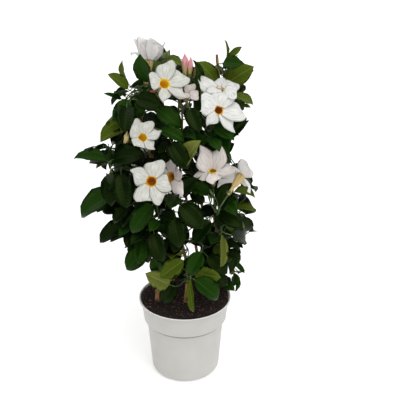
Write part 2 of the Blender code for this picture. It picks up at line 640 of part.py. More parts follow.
def grow_leaf(mass, node, heading, side, length, crown, rng):
    """One leaf from a node of a shoot, tried a few ways until it is clear and in its space."""
    for attempt in range(TRIES):
        droop = Vector((0.0, 0.0, -0.25)) + wobble(rng, 0.15 + 0.12 * attempt)
        way = (side + heading * 0.35 + outward(node) * 0.45 + droop).normalized()
        size = length * (1.0 - 0.025 * attempt) * rng.uniform(0.9, 1.08)
        base = node + (way + side * 0.5).normalized() * PETIOLE
        tip = base + way * size
        normal = upper_side(base, way, rng, 0.3 + 0.05 * attempt)
        bend = LEAF_BEND * rng.uniform(0.6, 1.25)
        width = size * LEAF_WIDTH * rng.uniform(0.9, 1.1)
        leaf = Leaf(mass.name, node - side * GAP, base, tip, normal, width, bend)
        whole = leaf_skin(leaf, CLEARANCE)
        if not (in_space(mass, whole[0], FILL_SHARE) and fits_photo(leaf, whole[0])):
            continue
        if not crown.clear(whole, lambda owner, kind: owner == mass.name and kind == "twig"):
            continue
        if crown.clear(leaf_skin(leaf, CLEARANCE, stalk=False)):
            crown.add(mass.name, "leaf", whole)
            return leaf
    return None


def grow_pairs(mass, shoot, size, crown, rng):
    """Opposite leaves at even nodes down a shoot, each pair a quarter turn from the last."""
    leaves = []
    reach = path_length(shoot.path)
    spot = INTERNODE * size * 0.35
    turn = rng.uniform(0, math.pi)
    while spot < reach - PETIOLE:
        node, heading = along(shoot.path, spot)
        across_shoot = heading.orthogonal().normalized()
        beside = across_shoot * math.cos(turn) + heading.cross(across_shoot) * math.sin(turn)
        for side in (beside, -beside):
            length = LEAF_LENGTH * size * rng.uniform(0.78, 1.1)
            leaf = grow_leaf(mass, node, heading, side, length, crown, rng)
            if leaf:
                leaves.append(leaf)
        turn += math.pi / 2 + rng.uniform(-0.3, 0.3)
        spot += INTERNODE * size * rng.uniform(0.85, 1.15)
    return leaves


def grow_stalk(mass, bloom, twigs, crown, rng):
    """The stalk of a flower or bud, from one of the nearest twigs of its mass into its foot."""
    base, face = bloom_seat(bloom)
    spots = []
    for twig in twigs:
        for share in (0.25, 0.5, 0.75, 0.95):
            spots.append(part_way(twig.path, share))
    spots.sort(key=lambda spot: (spot[0] - base).length)
    radii = taper(SHOOT_RADIUS * 0.8, NECK_RADIUS * 0.55, STALK_POINTS)
    for attempt in range(TRIES * 2):
        start, heading = spots[min(attempt // 2, len(spots) - 1)]
        span = (base - start).length
        first = start + (heading + wobble(rng, 0.2 + 0.08 * attempt)) * (span * 0.3)
        path = cubic(start, first, base - face * (span * 0.4), base + face * STALK_SUNK, STALK_POINTS)
        swollen = tube(path[:-1], [radius + CLEARANCE for radius in radii[:-1]])
        last = tube(path[-2:], [radius + CLEARANCE for radius in radii[-2:]])
        if not crown.clear(last, lambda owner, kind: owner == mass.name):
            continue
        if crown.clear(swollen, lambda owner, kind: owner == mass.name and kind != "flower"):
            crown.add(mass.name, "stalk", swollen)
            crown.add(mass.name, "stalk", last)
            return Twig(mass.name, "stalk", path, radii)
    return None


def stretched(way, reach):
    return Vector([way[k] * reach[k] for k in range(3)])


def back_shoots(mass, rng):
    """Shoots of a mass at the back, closed by leaves that reach out to the skin of its space."""
    shoots = []
    centre = Vector(mass.centre)
    out = outward(centre)
    beside = Vector((-out.y, out.x, 0.0))
    for k in range(BACK_SHOOTS_PER_MASS):
        turn = 2 * math.pi * (k + rng.uniform(-0.2, 0.2)) / BACK_SHOOTS_PER_MASS
        ring = beside * math.cos(turn) + Vector((0.0, 0.0, math.sin(turn)))
        way = (out * rng.uniform(0.5, 0.9) + ring).normalized()
        share = 0.93
        while share > 0.5 and not in_outline(seen_at(centre + stretched(way, mass.reach) * (share + 0.1))):
            share -= 0.05
        tip = centre + stretched(way, mass.reach) * share
        droop = (way * 0.8 + out * 0.4 - Vector((0.0, 0.0, 0.45))).normalized()
        shoots.append(Shoot(mass.name, tip - droop * LEAF_LENGTH * rng.uniform(0.85, 1.1), tip))
    return shoots


def open_shoot(centres, size, rng):
    """A mass and a shoot of it towards the emptiest of some seeded places in the whole crown."""
    places = []
    for mass in MASSES:
        for _ in range(PLACES_TRIED):
            way = wobble(rng, 1.0)
            if way.length <= 1.0:
                spot = Vector(mass.centre) + stretched(way, mass.reach) * 0.9
                if in_outline(seen_at(spot)):
                    places.append((min((spot - other).length for other in centres), mass, spot))
    _, mass, tip = max(places, key=lambda place: place[0])
    droop = outward(tip) * 0.8 + (tip - Vector(mass.centre)).normalized() * 0.5 + wobble(rng, 0.4)
    droop.z -= 0.35
    length = LEAF_LENGTH * size * rng.uniform(0.8, 1.05)
    return mass, Shoot(mass.name, tip - droop.normalized() * length, tip)


def leaf_cells(leaf):
    """The cells of the photograph's plane that a leaf covers."""
    chord = leaf.tip - leaf.base
    side = across(leaf.normal, chord.normalized()).cross(chord.normalized()) * (leaf.width / 2)
    cells = set()
    for i in range(9):
        for v in (-0.8, -0.4, 0.0, 0.4, 0.8):
            spot = seen_at(leaf.base + chord * (i / 8) + side * (v * math.sin(math.pi * (i + 1) / 10)))
            cells.add((round(spot.x / VIEW_CELL), round(spot.y / VIEW_CELL)))
    return cells


def flower_cells(flower):
    """The cells of the photograph's plane that an open flower covers."""
    first, second = flower_axes(flower)[1:]
    cells = set()
    for i in range(6):
        for k in range(24):
            turn = 2 * math.pi * k / 24
            spoke = (first * math.cos(turn) + second * math.sin(turn)) * (flower.width * 0.09 * i)
            spot = seen_at(Vector(flower.throat) + spoke)
            cells.add((round(spot.x / VIEW_CELL), round(spot.y / VIEW_CELL)))
    return cells


def crown_cells():
    """The cells of the photograph's plane that the crown fills, its openings left out."""
    cells = []
    for i in range(round(min(x for x, _ in CROWN_OUTLINE) / VIEW_CELL), 60):
        for k in range(120):
            spot = Vector((i * VIEW_CELL, k * VIEW_CELL))
            shut = all((spot - Vector((x, z))).length > radius + VIEW_CELL / 2 for x, z, radius in OPENINGS)
            if shut and in_outline(spot):
                cells.append((i, k))
    return cells


def nearest_start(mass, spot, twigs):
    """Place and direction on a twig of the mass that passes nearest to a spot."""
    starts = []
    for twig in twigs:
        if twig.mass == mass.name:
            starts += [part_way(twig.path, share) for share in (0.35, 0.6, 0.85)]
    return min(starts, key=lambda start: (start[0] - spot).length)


def fill_view(twigs, leaves, attempts, size, crown, rng):
    """Shoots into what still shows bare inside the crown's outline, at any depth in a mass."""
    shown = [leaf_cells(leaf) for leaf in leaves] + [flower_cells(flower) for flower in FLOWERS]
    covered = set().union(*shown)
    wanted = crown_cells()
    viewer = Vector(VIEWER)
    for _ in range(attempts):
        bare = [cell for cell in wanted if cell not in covered]
        i, k = rng.choice(bare)
        sight = Vector((i * VIEW_CELL, 0.0, k * VIEW_CELL)) - viewer
        spot = viewer + sight * (1.0 + rng.uniform(-0.08, 0.08))
        nearby = [mass for mass in MASSES if in_space(mass, [spot], 0.9)]
        if not nearby:
            continue
        mass = rng.choice(nearby)
        length = LEAF_LENGTH * size * rng.uniform(0.75, 1.05)
        way = (outward(spot) * 0.5 + Vector((0.0, -0.1, -0.35)) + wobble(rng, 0.8)).normalized()
        shoot = Shoot(mass.name, spot - way * (length / 2), spot + way * (length / 2))
        start, heading = nearest_start(mass, shoot.base, twigs)
        grown = grow_shoot(mass, start, heading, shoot, crown, rng)
        if grown:
            found = [grown[1]] + grow_pairs(mass, grown[0], size, crown, rng)
            twigs.append(grown[0])
            leaves += found
            covered = covered.union(*(leaf_cells(leaf) for leaf in found))


def set_limbs(crown):
    """Axis, radii and skin of each woody stem, which everything else keeps clear of."""
    limbs = {}
    for stem in STEMS:
        path, radii = stem_path(stem), stem_radii(stem)
        limbs[stem.name] = (path, radii, stem_skin(stem))
        crown.add(stem.name, "limb", tube(path, [radius + CLEARANCE for radius in radii], 8))
    return limbs


def set_blooms(crown):
    """The flowers and buds, set before anything else that would be in their way."""
    blooms = []
    for bloom in FLOWERS + BUDS:
        swollen = bloom_skin(bloom, CLEARANCE)
        if crown.clear(swollen, lambda owner, kind: owner == bloom.mass):
            crown.add(bloom.mass, "flower", swollen)
            blooms.append(bloom)
    return blooms


def grow_named_shoots(stems, crown, rng):
    """The shoots of the tables, and those of the back, from the stem of each mass."""
    twigs, leaves = [], []
    for mass in MASSES:
        shoots = [shoot for shoot in FRONT_SHOOTS if shoot.mass == mass.name] or back_shoots(mass, rng)
        for k, shoot in enumerate(shoots):
            share = mix(0.45, 0.98, (k + 0.5) / len(shoots))
            start, heading = part_way(stems[mass.name].path, share)
            grown = grow_shoot(mass, start, heading, shoot, crown, rng)
            if grown:
                twigs.append(grown[0])
                leaves.append(grown[1])
    return twigs, leaves


def fill_crown(twigs, leaves, attempts, size, crown, rng):
    """Shoots with their leaf pairs, each into the emptiest place that is left in the whole crown."""
    centres = [mix(leaf.base, leaf.tip, 0.5) for leaf in leaves]
    centres += [Vector(flower.throat) for flower in FLOWERS]
    for _ in range(attempts):
        mass, shoot = open_shoot(centres, size, rng)
        start, heading = nearest_start(mass, shoot.base, twigs)
        grown = grow_shoot(mass, start, heading, shoot, crown, rng)
        centres.append(mix(Vector(shoot.base), Vector(shoot.tip), 0.5))
        if grown:
            found = [grown[1]] + grow_pairs(mass, grown[0], size, crown, rng)
            twigs.append(grown[0])
            leaves += found
            centres += [mix(leaf.base, leaf.tip, 0.5) for leaf in found]


def grow(crown, rng):
    """The whole crown: limbs and blossom first, then twigs, and leaves last where they find room."""
    limbs = set_limbs(crown)
    placed = set_blooms(crown)
    masses = {mass.name: mass for mass in MASSES}
    stems = {mass.name: mass_stem(mass, limbs, crown, rng) for mass in MASSES}
    shoots, leaves = grow_named_shoots(stems, crown, rng)
    twigs = list(stems.values()) + shoots
    stalks, blooms = [], []
    for bloom in placed:
        own = [twig for twig in twigs if twig.mass == bloom.mass]
        stalk = grow_stalk(masses[bloom.mass], bloom, own, crown, rng)
        if stalk:
            stalks.append(stalk)
            blooms.append(bloom)
    for twig in list(twigs):
        leaves += grow_pairs(masses[twig.mass], twig, twig.pairs, crown, rng)
    fill_crown(twigs, leaves, FILLING_SHOOTS, 1.0, crown, rng)
    fill_view(twigs, leaves, VIEW_SHOOTS, 1.0, crown, rng)
    return twigs, stalks, leaves, blooms


def new_material(name, colour, roughness):
    material = bpy.data.materials.new(name)
    material.use_nodes = True
    shader = next(node for node in material.node_tree.nodes if node.type == "BSDF_PRINCIPLED")
    shader.inputs["Base Color"].default_value = (*colour, 1.0)
    shader.inputs["Roughness"].default_value = roughness
    shader.inputs["Metallic"].default_value = 0.0
    return material


def new_object(name, skin, material, home):
    """An object from points and faces."""
    mesh = bpy.data.meshes.new(name)
    mesh.from_pydata([tuple(point) for point in skin[0]], [], skin[1])
    mesh.materials.append(material)
    piece = bpy.data.objects.new(name, mesh)
    home.objects.link(piece)
    return piece


def turned(name, profile, material, home):
    """A turned piece: a profile at +X, down its outer side, swept round by Screw."""
    mesh = bpy.data.meshes.new(name)
    edges = [(i, i + 1) for i in range(len(profile) - 1)]
    mesh.from_pydata([(radius, 0.0, height) for radius, height in profile], edges, [])
    mesh.materials.append(material)
    piece = bpy.data.objects.new(name, mesh)
    home.objects.link(piece)
    screw = piece.modifiers.new("turn", "SCREW")
    screw.steps = POT_STEPS
    screw.render_steps = POT_STEPS
    screw.use_merge_vertices = True
    screw.merge_threshold = 0.00001
    screw.use_smooth_shade = True
    return piece


def inner_radius(height):
    """Radius of the pot's inner wall at a height: body, then a cove up to a ledge, then the collar."""
    collar_bottom = POT_HEIGHT - COLLAR_HEIGHT
    cove_bottom = collar_bottom - COVE_HEIGHT
    step_top = collar_bottom + COLLAR_STEP
    body = FOOT_RADIUS + BODY_FLARE
    collar_low = POT_RADIUS - COLLAR_FLARE
    collar_high = POT_RADIUS - POT_LIP + POT_WALL
    if height < cove_bottom:
        outer = mix(FOOT_RADIUS, body, height / cove_bottom)
    elif height < collar_bottom:
        outer = mix(body, collar_low - COLLAR_LEDGE, ((height - cove_bottom) / COVE_HEIGHT) ** 1.6)
    elif height < step_top:
        outer = mix(collar_low - COLLAR_LEDGE, collar_low, (height - collar_bottom) / COLLAR_STEP)
    else:
        outer = mix(collar_low, collar_high, (height - step_top) / (POT_HEIGHT - step_top))
    return outer - POT_WALL


def make_pot(home):
    """The pot: a thin wall that flares into a wider collar, a rolled lip and a closed flat floor."""
    collar_bottom = POT_HEIGHT - COLLAR_HEIGHT
    cove_bottom = collar_bottom - COVE_HEIGHT
    cove_middle = collar_bottom - COVE_HEIGHT / 2
    step_top = collar_bottom + COLLAR_STEP
    lip_bottom = POT_HEIGHT - POT_LIP_DEPTH
    inside = [(0.0, POT_WALL), (FOOT_RADIUS - FOOT_ROUNDING, POT_WALL)]
    heights = (FOOT_ROUNDING, cove_bottom, cove_middle, collar_bottom, step_top, POT_HEIGHT)
    inside += [(inner_radius(height), height) for height in heights]
    lip = [
        (POT_RADIUS - LIP_EASE, POT_HEIGHT),
        (POT_RADIUS, POT_HEIGHT - LIP_EASE),
        (POT_RADIUS, lip_bottom),
    ]
    collar_low = inner_radius(step_top) + POT_WALL
    skirt = [
        (inner_radius(lip_bottom) + POT_WALL, lip_bottom),
        (collar_low, collar_bottom + COLLAR_LEDGE),
    ]
    cove = (collar_bottom, cove_middle, cove_bottom)
    skirt += [(inner_radius(height - GAP) + POT_WALL, height) for height in cove]
    foot = []
    for k in range(4):
        turn = math.pi / 2 * k / 3
        radius = FOOT_RADIUS - FOOT_ROUNDING * (1 - math.cos(turn))
        foot.append((radius, FOOT_ROUNDING * (1 - math.sin(turn))))
    profile = inside + lip + skirt + foot + [(0.0, 0.0)]
    return turned("pot", profile, new_material("white moulded plastic", (0.66, 0.65, 0.62), 0.45), home)


def make_soil(home):
    """The soil: it fills the pot, a hair's breadth clear of its wall and floor."""
    top = POT_HEIGHT - SOIL_BELOW_RIM
    collar_bottom = POT_HEIGHT - COLLAR_HEIGHT
    cove = [collar_bottom - COVE_HEIGHT * share for share in (0.0, 0.5, 1.0)]
    heights = [top, collar_bottom + COLLAR_STEP] + cove + [FOOT_ROUNDING]
    side = [(inner_radius(height) - GAP, height) for height in heights]
    floor = POT_WALL + GAP
    profile = [(0.0, top)] + side + [(FOOT_RADIUS - FOOT_ROUNDING - GAP, floor), (0.0, floor)]
    return turned("soil", profile, new_material("dark compost", (0.02, 0.013, 0.009), 0.95), home)


def joined(name, skins, home):
    """One solid from overlapping skins, by one Boolean union on a collection, and whether it is closed."""
    scrap = bpy.data.collections.new(name + "_pieces")
    bpy.context.scene.collection.children.link(scrap)
    first, *others = [new_object(name, skin, material, scrap) for skin, material in skins]
    scrap.objects.unlink(first)
    home.objects.link(first)
    union = first.modifiers.new("union", "BOOLEAN")
    union.operation = "UNION"
    union.operand_type = "COLLECTION"
    union.collection = scrap
    union.solver = "MANIFOLD"
    union.material_mode = "TRANSFER"
    depsgraph = bpy.context.evaluated_depsgraph_get()
    mesh = bpy.data.meshes.new_from_object(first.evaluated_get(depsgraph))
    first.modifiers.clear()
    first.data = mesh
    for other in others:
        bpy.data.objects.remove(other)
    bpy.data.collections.remove(scrap)
    return first, one_shell(mesh)


def one_shell(mesh):
    """Weld the finest slivers and keep the largest shell; True where that one is closed all round."""
    form = bmesh.new()
    form.from_mesh(mesh)
    bmesh.ops.remove_doubles(form, verts=form.verts, dist=WELD)
    bmesh.ops.triangulate(form, faces=form.faces)
    left = set(form.faces)
    shells = []
    while left:
        front = [left.pop()]
        shell = list(front)
        while front:
            near = {other for face in front for edge in face.edges for other in edge.link_faces}
            front = list(near & left)
            left -= near
            shell += front
        shells.append(shell)
    shells.sort(key=len)
    for shell in shells[:-1]:
        bmesh.ops.delete(form, geom=shell, context="FACES")
    closed = all(vert.is_manifold for vert in form.verts)
    form.to_mesh(mesh)
    form.free()
    return closed


def make_mass(mass, twigs, leaves, blooms, home):
    """A mass as one closed solid; where a union stays open, its twigs are made a shade thicker."""
    green = new_material("leaves " + mass.name, (0.03, 0.10, 0.02), 0.4)
    white = new_material("petals " + mass.name, (0.80, 0.80, 0.76), 0.6)
    for attempt in range(UNION_TRIES):
        thicker = 1.0 + UNION_NUDGE * attempt
        wood = [tube(twig.path, [radius * thicker for radius in twig.radii]) for twig in twigs]
        skins = [(skin, green) for skin in wood + [leaf_skin(leaf) for leaf in leaves]]
        skins += [(bloom_skin(bloom), white) for bloom in blooms]
        piece, closed = joined(mass.name, skins, home)
        if closed:
            return piece
        bpy.data.objects.remove(piece)
    raise ValueError(mass.name + " stays open")


def build():
    for piece in list(bpy.data.objects):
        bpy.data.objects.remove(piece)
    home = bpy.data.collections.new("potted_mandevilla")
    bpy.context.scene.collection.children.link(home)
    make_pot(home)
    make_soil(home)
    bark = new_material("woody stem", (0.30, 0.17, 0.07), 0.8)
    for stem in STEMS:
        new_object(stem.name, stem_skin(stem), bark.copy(), home)
    twigs, stalks, leaves, blooms = grow(Crown(), random.Random(SEED))
    grown = (twigs + stalks, leaves, blooms)
    for mass in MASSES:
        own = [[part for part in parts if part.mass == mass.name] for parts in grown]
        piece = make_mass(mass, *own, home)
        print(mass.name, "triangles", len(piece.data.polygons))
    print("twigs, leaves, blooms", [len(parts) for parts in grown], "of", len(FLOWERS + BUDS), "blooms")


build()
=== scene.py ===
# %% [markdown]
# # A potted mandevilla, dressed over its solids
#
# The real plant is a climber: a few woody stems twine up out of a white nursery pot, and short
# shoots carry glossy leaves in pairs and white funnel flowers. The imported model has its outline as
# simple solids. This lesson grows the same plant by the same rule, and gives every leaf, petal and
# crumb its shape and finish.

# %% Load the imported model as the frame
import json
import math
import random
from collections import namedtuple
from functools import partial

import bmesh
import bpy
import numpy as np
from mathutils import Matrix, Vector
from mathutils.bvhtree import BVHTree

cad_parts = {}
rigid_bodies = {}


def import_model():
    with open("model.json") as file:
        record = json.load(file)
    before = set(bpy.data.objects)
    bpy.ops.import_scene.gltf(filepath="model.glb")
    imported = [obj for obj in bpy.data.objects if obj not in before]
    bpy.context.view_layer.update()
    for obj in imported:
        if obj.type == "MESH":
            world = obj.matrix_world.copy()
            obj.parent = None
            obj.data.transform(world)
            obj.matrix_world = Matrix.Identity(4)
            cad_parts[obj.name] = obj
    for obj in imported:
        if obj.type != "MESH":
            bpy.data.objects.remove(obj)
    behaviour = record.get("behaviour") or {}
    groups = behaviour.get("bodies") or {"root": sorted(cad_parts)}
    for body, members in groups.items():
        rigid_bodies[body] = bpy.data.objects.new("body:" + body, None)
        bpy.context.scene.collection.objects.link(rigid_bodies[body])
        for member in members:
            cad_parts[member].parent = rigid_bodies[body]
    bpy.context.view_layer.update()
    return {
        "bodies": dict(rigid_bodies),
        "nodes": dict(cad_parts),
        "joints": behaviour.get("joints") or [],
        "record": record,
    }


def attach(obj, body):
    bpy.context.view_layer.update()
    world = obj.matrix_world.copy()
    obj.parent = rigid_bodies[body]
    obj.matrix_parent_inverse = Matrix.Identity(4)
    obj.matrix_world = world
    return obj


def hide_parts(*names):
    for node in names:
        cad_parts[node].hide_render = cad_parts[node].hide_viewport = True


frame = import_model()

# %% [markdown]
# ## Helpers
#
# Colours are easiest to match as sRGB hex values, but a shader works with linear light, so one
# function converts them. Node trees could be drawn in the editor. Here one function adds a node,
# sets it and links its inputs, so that each tree reads line by line.

# %% Colour and node helpers
def linear(code):
    """A linear colour from an sRGB hex value."""
    shares = [int(code[i:i + 2], 16) / 255 for i in (1, 3, 5)]
    return [s / 12.92 if s <= 0.04045 else ((s + 0.055) / 1.055) ** 2.4 for s in shares] + [1.0]


def add_node(tree, kind, inputs=None, **settings):
    """A new node with its settings; an input is a value, an output, or a node for its first output."""
    node = tree.nodes.new(kind)
    for name, value in settings.items():
        setattr(node, name, value)
    for key, value in (inputs or {}).items():
        if isinstance(value, bpy.types.Node):
            value = value.outputs[0]
        if isinstance(value, bpy.types.NodeSocket):
            tree.links.new(value, node.inputs[key])
        else:
            node.inputs[key].default_value = value
    return node


def new_material(name, roughness):
    """A material, its node tree and the inputs of its shader."""
    material = bpy.data.materials.new(name)
    material.use_nodes = True
    surface = material.node_tree.nodes["Principled BSDF"].inputs
    surface["Roughness"].default_value = roughness
    return material, material.node_tree, surface


def add_object(name, data):
    """A new object in the scene."""
    piece = bpy.data.objects.new(name, data)
    bpy.context.scene.collection.objects.link(piece)
    return piece


print("white is", linear("#ffffff"), "and a leaf green is", linear("#1f4a14"))

# %% [markdown]
# ## The sizes of the plant
#
# These sizes drive the construction too, because the fine leaves have to sit where the solids say.
# They are in metres, and rows that say so in millimetres.

# %% Sizes shared with the solids
# Driving sizes of the pot
POT_RADIUS = 0.0945
POT_HEIGHT = 0.168
POT_WALL = 0.0020
POT_LIP = 0.0066
POT_LIP_DEPTH = 0.004
COLLAR_HEIGHT = 0.0475
COLLAR_STEP = 0.004
COLLAR_LEDGE = 0.0022
COLLAR_FLARE = 0.008
COVE_HEIGHT = 0.004
FOOT_RADIUS = 0.0708
BODY_FLARE = 0.0082
FOOT_ROUNDING = 0.012
SOIL_BELOW_RIM = 0.0055
GAP = 0.0003

# Driving sizes of the plant
LEAF_LENGTH = 0.070
LEAF_WIDTH = 0.56
LEAF_THICKNESS = 0.0013
LEAF_BEND = 0.55
LEAF_FOLD = 0.22
LEAF_STATIONS = ((0.0, 0.06), (0.22, 0.88), (0.64, 0.92))
PETIOLE = 0.010
TWIG_RADIUS = 0.0021
SHOOT_RADIUS = 0.0015
TIP_RADIUS = 0.0009
SHOOT_POINTS = 4
STALK_POINTS = 5
STALK_SUNK = 0.003
HEART = 0.62
INTERNODE = 0.042
TUBE_LENGTH = 0.050
NECK_LENGTH = 0.018
NECK_RADIUS = 0.0030
FUNNEL_FLOOR = 0.026
THROAT_RADIUS = 0.0105
PETAL_WALL = 0.0011
CLEARANCE = 0.0004
TRIES = 12
SEED = 17
print("a leaf is about", LEAF_LENGTH * 1000, "mm long and the pot", POT_HEIGHT * 1000, "mm high")

# %% [markdown]
# ## Stems and masses
#
# Five woody stems carry the crown. Its foliage is divided into masses, each one side branch of a
# stem. A mass has an ellipsoid of its own that its leaves keep to, so that it can be one solid and
# none grows through the next.

# %% Stems and masses
Stem = namedtuple("Stem", "name foot top foot_radius top_radius turns phase")
Mass = namedtuple("Mass", "name stem height centre reach")
Shoot = namedtuple("Shoot", "mass base tip width pairs", defaults=(1.0, 1.0))
Flower = namedtuple("Flower", "mass throat yaw rise roll width cup")
Bud = namedtuple("Bud", "mass base tip radius")
Leaf = namedtuple("Leaf", "mass root base tip normal width bend")
Twig = namedtuple("Twig", "mass kind path radii pairs", defaults=(1.0,))

STEMS = (
    Stem("stem_left", (-0.055, -0.012), (-0.074, 0.002, 0.652), 0.0050, 0.0027, 3.2, 0.4),
    Stem("stem_right", (0.066, 0.030), (0.064, 0.018, 0.662), 0.0052, 0.0027, 3.0, 2.5),
    Stem("stem_middle", (0.004, -0.020), (-0.006, -0.012, 0.590), 0.0048, 0.0020, 2.6, 4.0),
    Stem("stem_back_left", (-0.028, 0.046), (-0.048, 0.062, 0.600), 0.0044, 0.0020, 2.8, 1.4),
    Stem("stem_back_right", (0.026, 0.052), (0.034, 0.078, 0.580), 0.0044, 0.0020, 2.9, 5.2),
)
STEM_SWAY = 0.006
STEM_POINTS = 18
STEM_FLARE = 1.5


def in_metres(rows):
    """Rows of millimetres, nested or not, as tuples of metres."""
    return tuple(in_metres(row) if isinstance(row, tuple) else row / 1000 for row in rows)


# Each mass: the stem and height that carry it, and the middle and half sizes of its own space, in mm
MASS_ROWS = {
    "left_top": ("left", 585, (-85, 0, 618), (75, 90, 68)),
    "middle_top": ("middle", 560, (-8, -18, 620), (74, 95, 82)),
    "right_top": ("right", 590, (80, -5, 624), (78, 95, 78)),
    "left_upper": ("left", 520, (-95, -25, 550), (85, 110, 80)),
    "middle_upper": ("middle", 485, (-2, -50, 535), (75, 95, 85)),
    "right_upper": ("right", 500, (75, -15, 535), (75, 105, 70)),
    "left_middle": ("left", 440, (-118, -35, 442), (112, 120, 105)),
    "middle": ("middle", 400, (-20, -70, 412), (100, 105, 95)),
    "right_middle": ("right", 410, (92, -10, 398), (90, 115, 98)),
    "left_low": ("left", 340, (-92, -45, 335), (95, 115, 90)),
    "middle_low": ("middle", 310, (-5, -70, 325), (80, 85, 85)),
    "right_low": ("right", 300, (78, -10, 278), (78, 110, 118)),
    "foot": ("middle", 225, (2, -62, 235), (105, 74, 66)),
    "back_left_top": ("back_left", 560, (-45, 100, 590), (95, 80, 85)),
    "back_right_top": ("back_right", 540, (55, 105, 575), (85, 80, 85)),
    "back_left_middle": ("back_left", 430, (-70, 90, 440), (95, 85, 90)),
    "back_right_middle": ("back_right", 410, (55, 100, 425), (90, 85, 90)),
    "back_left_low": ("back_left", 290, (-55, 75, 295), (85, 85, 85)),
    "back_right_low": ("back_right", 280, (50, 90, 285), (85, 85, 85)),
}
MASSES = [Mass("leaves_" + name, "stem_" + stem, height / 1000, in_metres(centre), in_metres(reach))
          for name, (stem, height, centre, reach) in MASS_ROWS.items()]
MASS_OF = {mass.name: mass for mass in MASSES}
print(len(MASSES), "masses on", len(STEMS), "stems")

# %% [markdown]
# ## Shoots that the photograph shows
#
# The last leaf of a shoot can often be told apart in the photograph. So a shoot is listed by the
# two ends of that leaf, and the rule below finds the way to it. Drawing every twig by hand would
# take many more numbers.

# %% Shoots of the front
# By mass: base and tip in mm of the leaf that closes each shoot and, where they differ, its share of
# the usual width and that of the pairs below it
SHOOT_ROWS = {
    "left_top": ((-100, -10, 606, -135, -10, 634, 0.8, 0.55), (-104, 20, 612, -113, 30, 650, 0.7, 0.55),
        (-62, -26, 622, -72, -36, 674), (-112, -20, 590, -140, -40, 606, 0.45, 0.5)),
    "middle_top": ((-30, 0, 660, -2, -20, 652, 1.0, 0.6), (-20, 12, 640, -24, 20, 672, 0.4, 0.5),
        (20, -10, 610, 20, -30, 664, 0.35, 0.5)),
    "right_top": ((62, 0, 612, 28, 0, 654), (76, 6, 610, 128, 0, 645),
        (82, 30, 650, 108, 36, 674, 0.5, 0.45), (80, 26, 656, 76, 30, 688, 0.55, 0.5),
        (90, -20, 597, 128, -26, 582)),
    "left_upper": ((-94, -40, 592, -122, -64, 560), (-100, -30, 540, -150, -52, 520),
        (-82, -60, 600, -35, -75, 592), (-112, 0, 552, -150, 6, 528)),
    "middle_upper": ((-46, -56, 582, -2, -66, 550), (-40, -70, 548, 4, -86, 530),
        (-20, -90, 535, 8, -102, 486), (3, -86, 490, 32, -96, 536), (12, -60, 585, 30, -86, 548)),
    "right_upper": ((75, -40, 515, 118, -52, 560, 0.5), (54, -50, 548, 92, -74, 530),
        (102, -20, 577, 124, -20, 574, 0.6, 0.5)),
    "left_middle": ((-137, -50, 481, -205, -32, 481, 0.8), (-128, -62, 488, -68, -84, 506),
        (-112, -76, 468, -100, -112, 414), (-127, -54, 419, -198, -50, 369, 0.9)),
    "middle": ((-28, -102, 444, -30, -126, 392), (-6, -92, 412, 36, -112, 374),
        (8, -60, 438, 50, -62, 424), (-58, -92, 408, -96, -114, 356)),
    "right_middle": ((66, -50, 378, 112, -70, 356), (100, -10, 368, 140, -12, 362),
        (112, 10, 352, 153, 10, 314, 0.36, 0.6), (96, -12, 404, 138, -16, 394)),
    "left_low": ((-100, -50, 357, -162, -60, 320, 0.85), (-98, -70, 402, -130, -80, 370),
        (-67, -70, 313, -110, -82, 272), (-97, -26, 332, -146, -30, 306, 0.5),
        (-62, -104, 362, -36, -136, 310)),
    "middle_low": ((-13, -100, 398, -2, -124, 336), (50, -82, 376, 20, -104, 340),
        (0, -92, 298, -44, -104, 268), (34, -78, 310, 10, -90, 266)),
    "right_low": ((71, -64, 340, 70, -76, 272, 0.35), (90, -10, 262, 122, -12, 226, 0.38, 0.6),
        (98, 0, 222, 104, -4, 178, 0.4, 0.5), (82, -30, 310, 107, -36, 291, 0.6, 0.6),
        (44, -54, 288, 84, -68, 256)),
    "foot": ((-28, -82, 240, -72, -92, 270), (13, -92, 258, 18, -104, 190, 0.35),
        (20, -90, 256, 66, -94, 214), (-20, -58, 236, -42, -70, 190), (40, -50, 244, 86, -58, 226)),
}


def shoots_of(rows):
    """Shoots from such rows."""
    return [Shoot("leaves_" + mass, in_metres(row[:3]), in_metres(row[3:6]), *row[6:])
            for mass, shoots in rows.items() for row in shoots]


FRONT_SHOOTS = shoots_of(SHOOT_ROWS)
print("shoots listed:", len(FRONT_SHOOTS))

# %% [markdown]
# ## The photograph's view
#
# The eye knows this plant by its outline and by the holes where the sky shows through. Both are
# kept on an upright plane through the pot's axis, and each leaf is tested against them along its
# line of sight.

# %% The photograph's view
# Where the crown ends and where the sky shows through it, seen from the photograph's place: points
# and circles in mm on the upright plane y = 0
VIEWER = (0.031, -1.300, 0.942)
CROWN_OUTLINE = in_metres((
    (-79, 703), (-52, 706), (-30, 687), (-23, 676), (-1, 657), (13, 675), (26, 644), (36, 655),
    (58, 649), (72, 660), (76, 682), (92, 683), (108, 669), (105, 653), (129, 644), (126, 624),
    (110, 607), (126, 596), (129, 567), (120, 558), (120, 540), (106, 517), (88, 483), (88, 457),
    (102, 457), (118, 471), (145, 399), (126, 399), (137, 369), (135, 348), (152, 315), (129, 300),
    (113, 268), (125, 220), (107, 211), (105, 178), (85, 173), (68, 192), (-71, 211), (-82, 245),
    (-111, 229), (-122, 259), (-117, 291), (-171, 291), (-159, 328), (-115, 344), (-158, 352),
    (-209, 346), (-203, 382), (-157, 412), (-149, 441), (-183, 455), (-214, 475), (-184, 495),
    (-137, 497), (-155, 517), (-135, 544), (-132, 569), (-145, 598), (-123, 605), (-139, 633),
    (-112, 644), (-104, 624), (-95, 607), (-84, 609), (-77, 653),
))
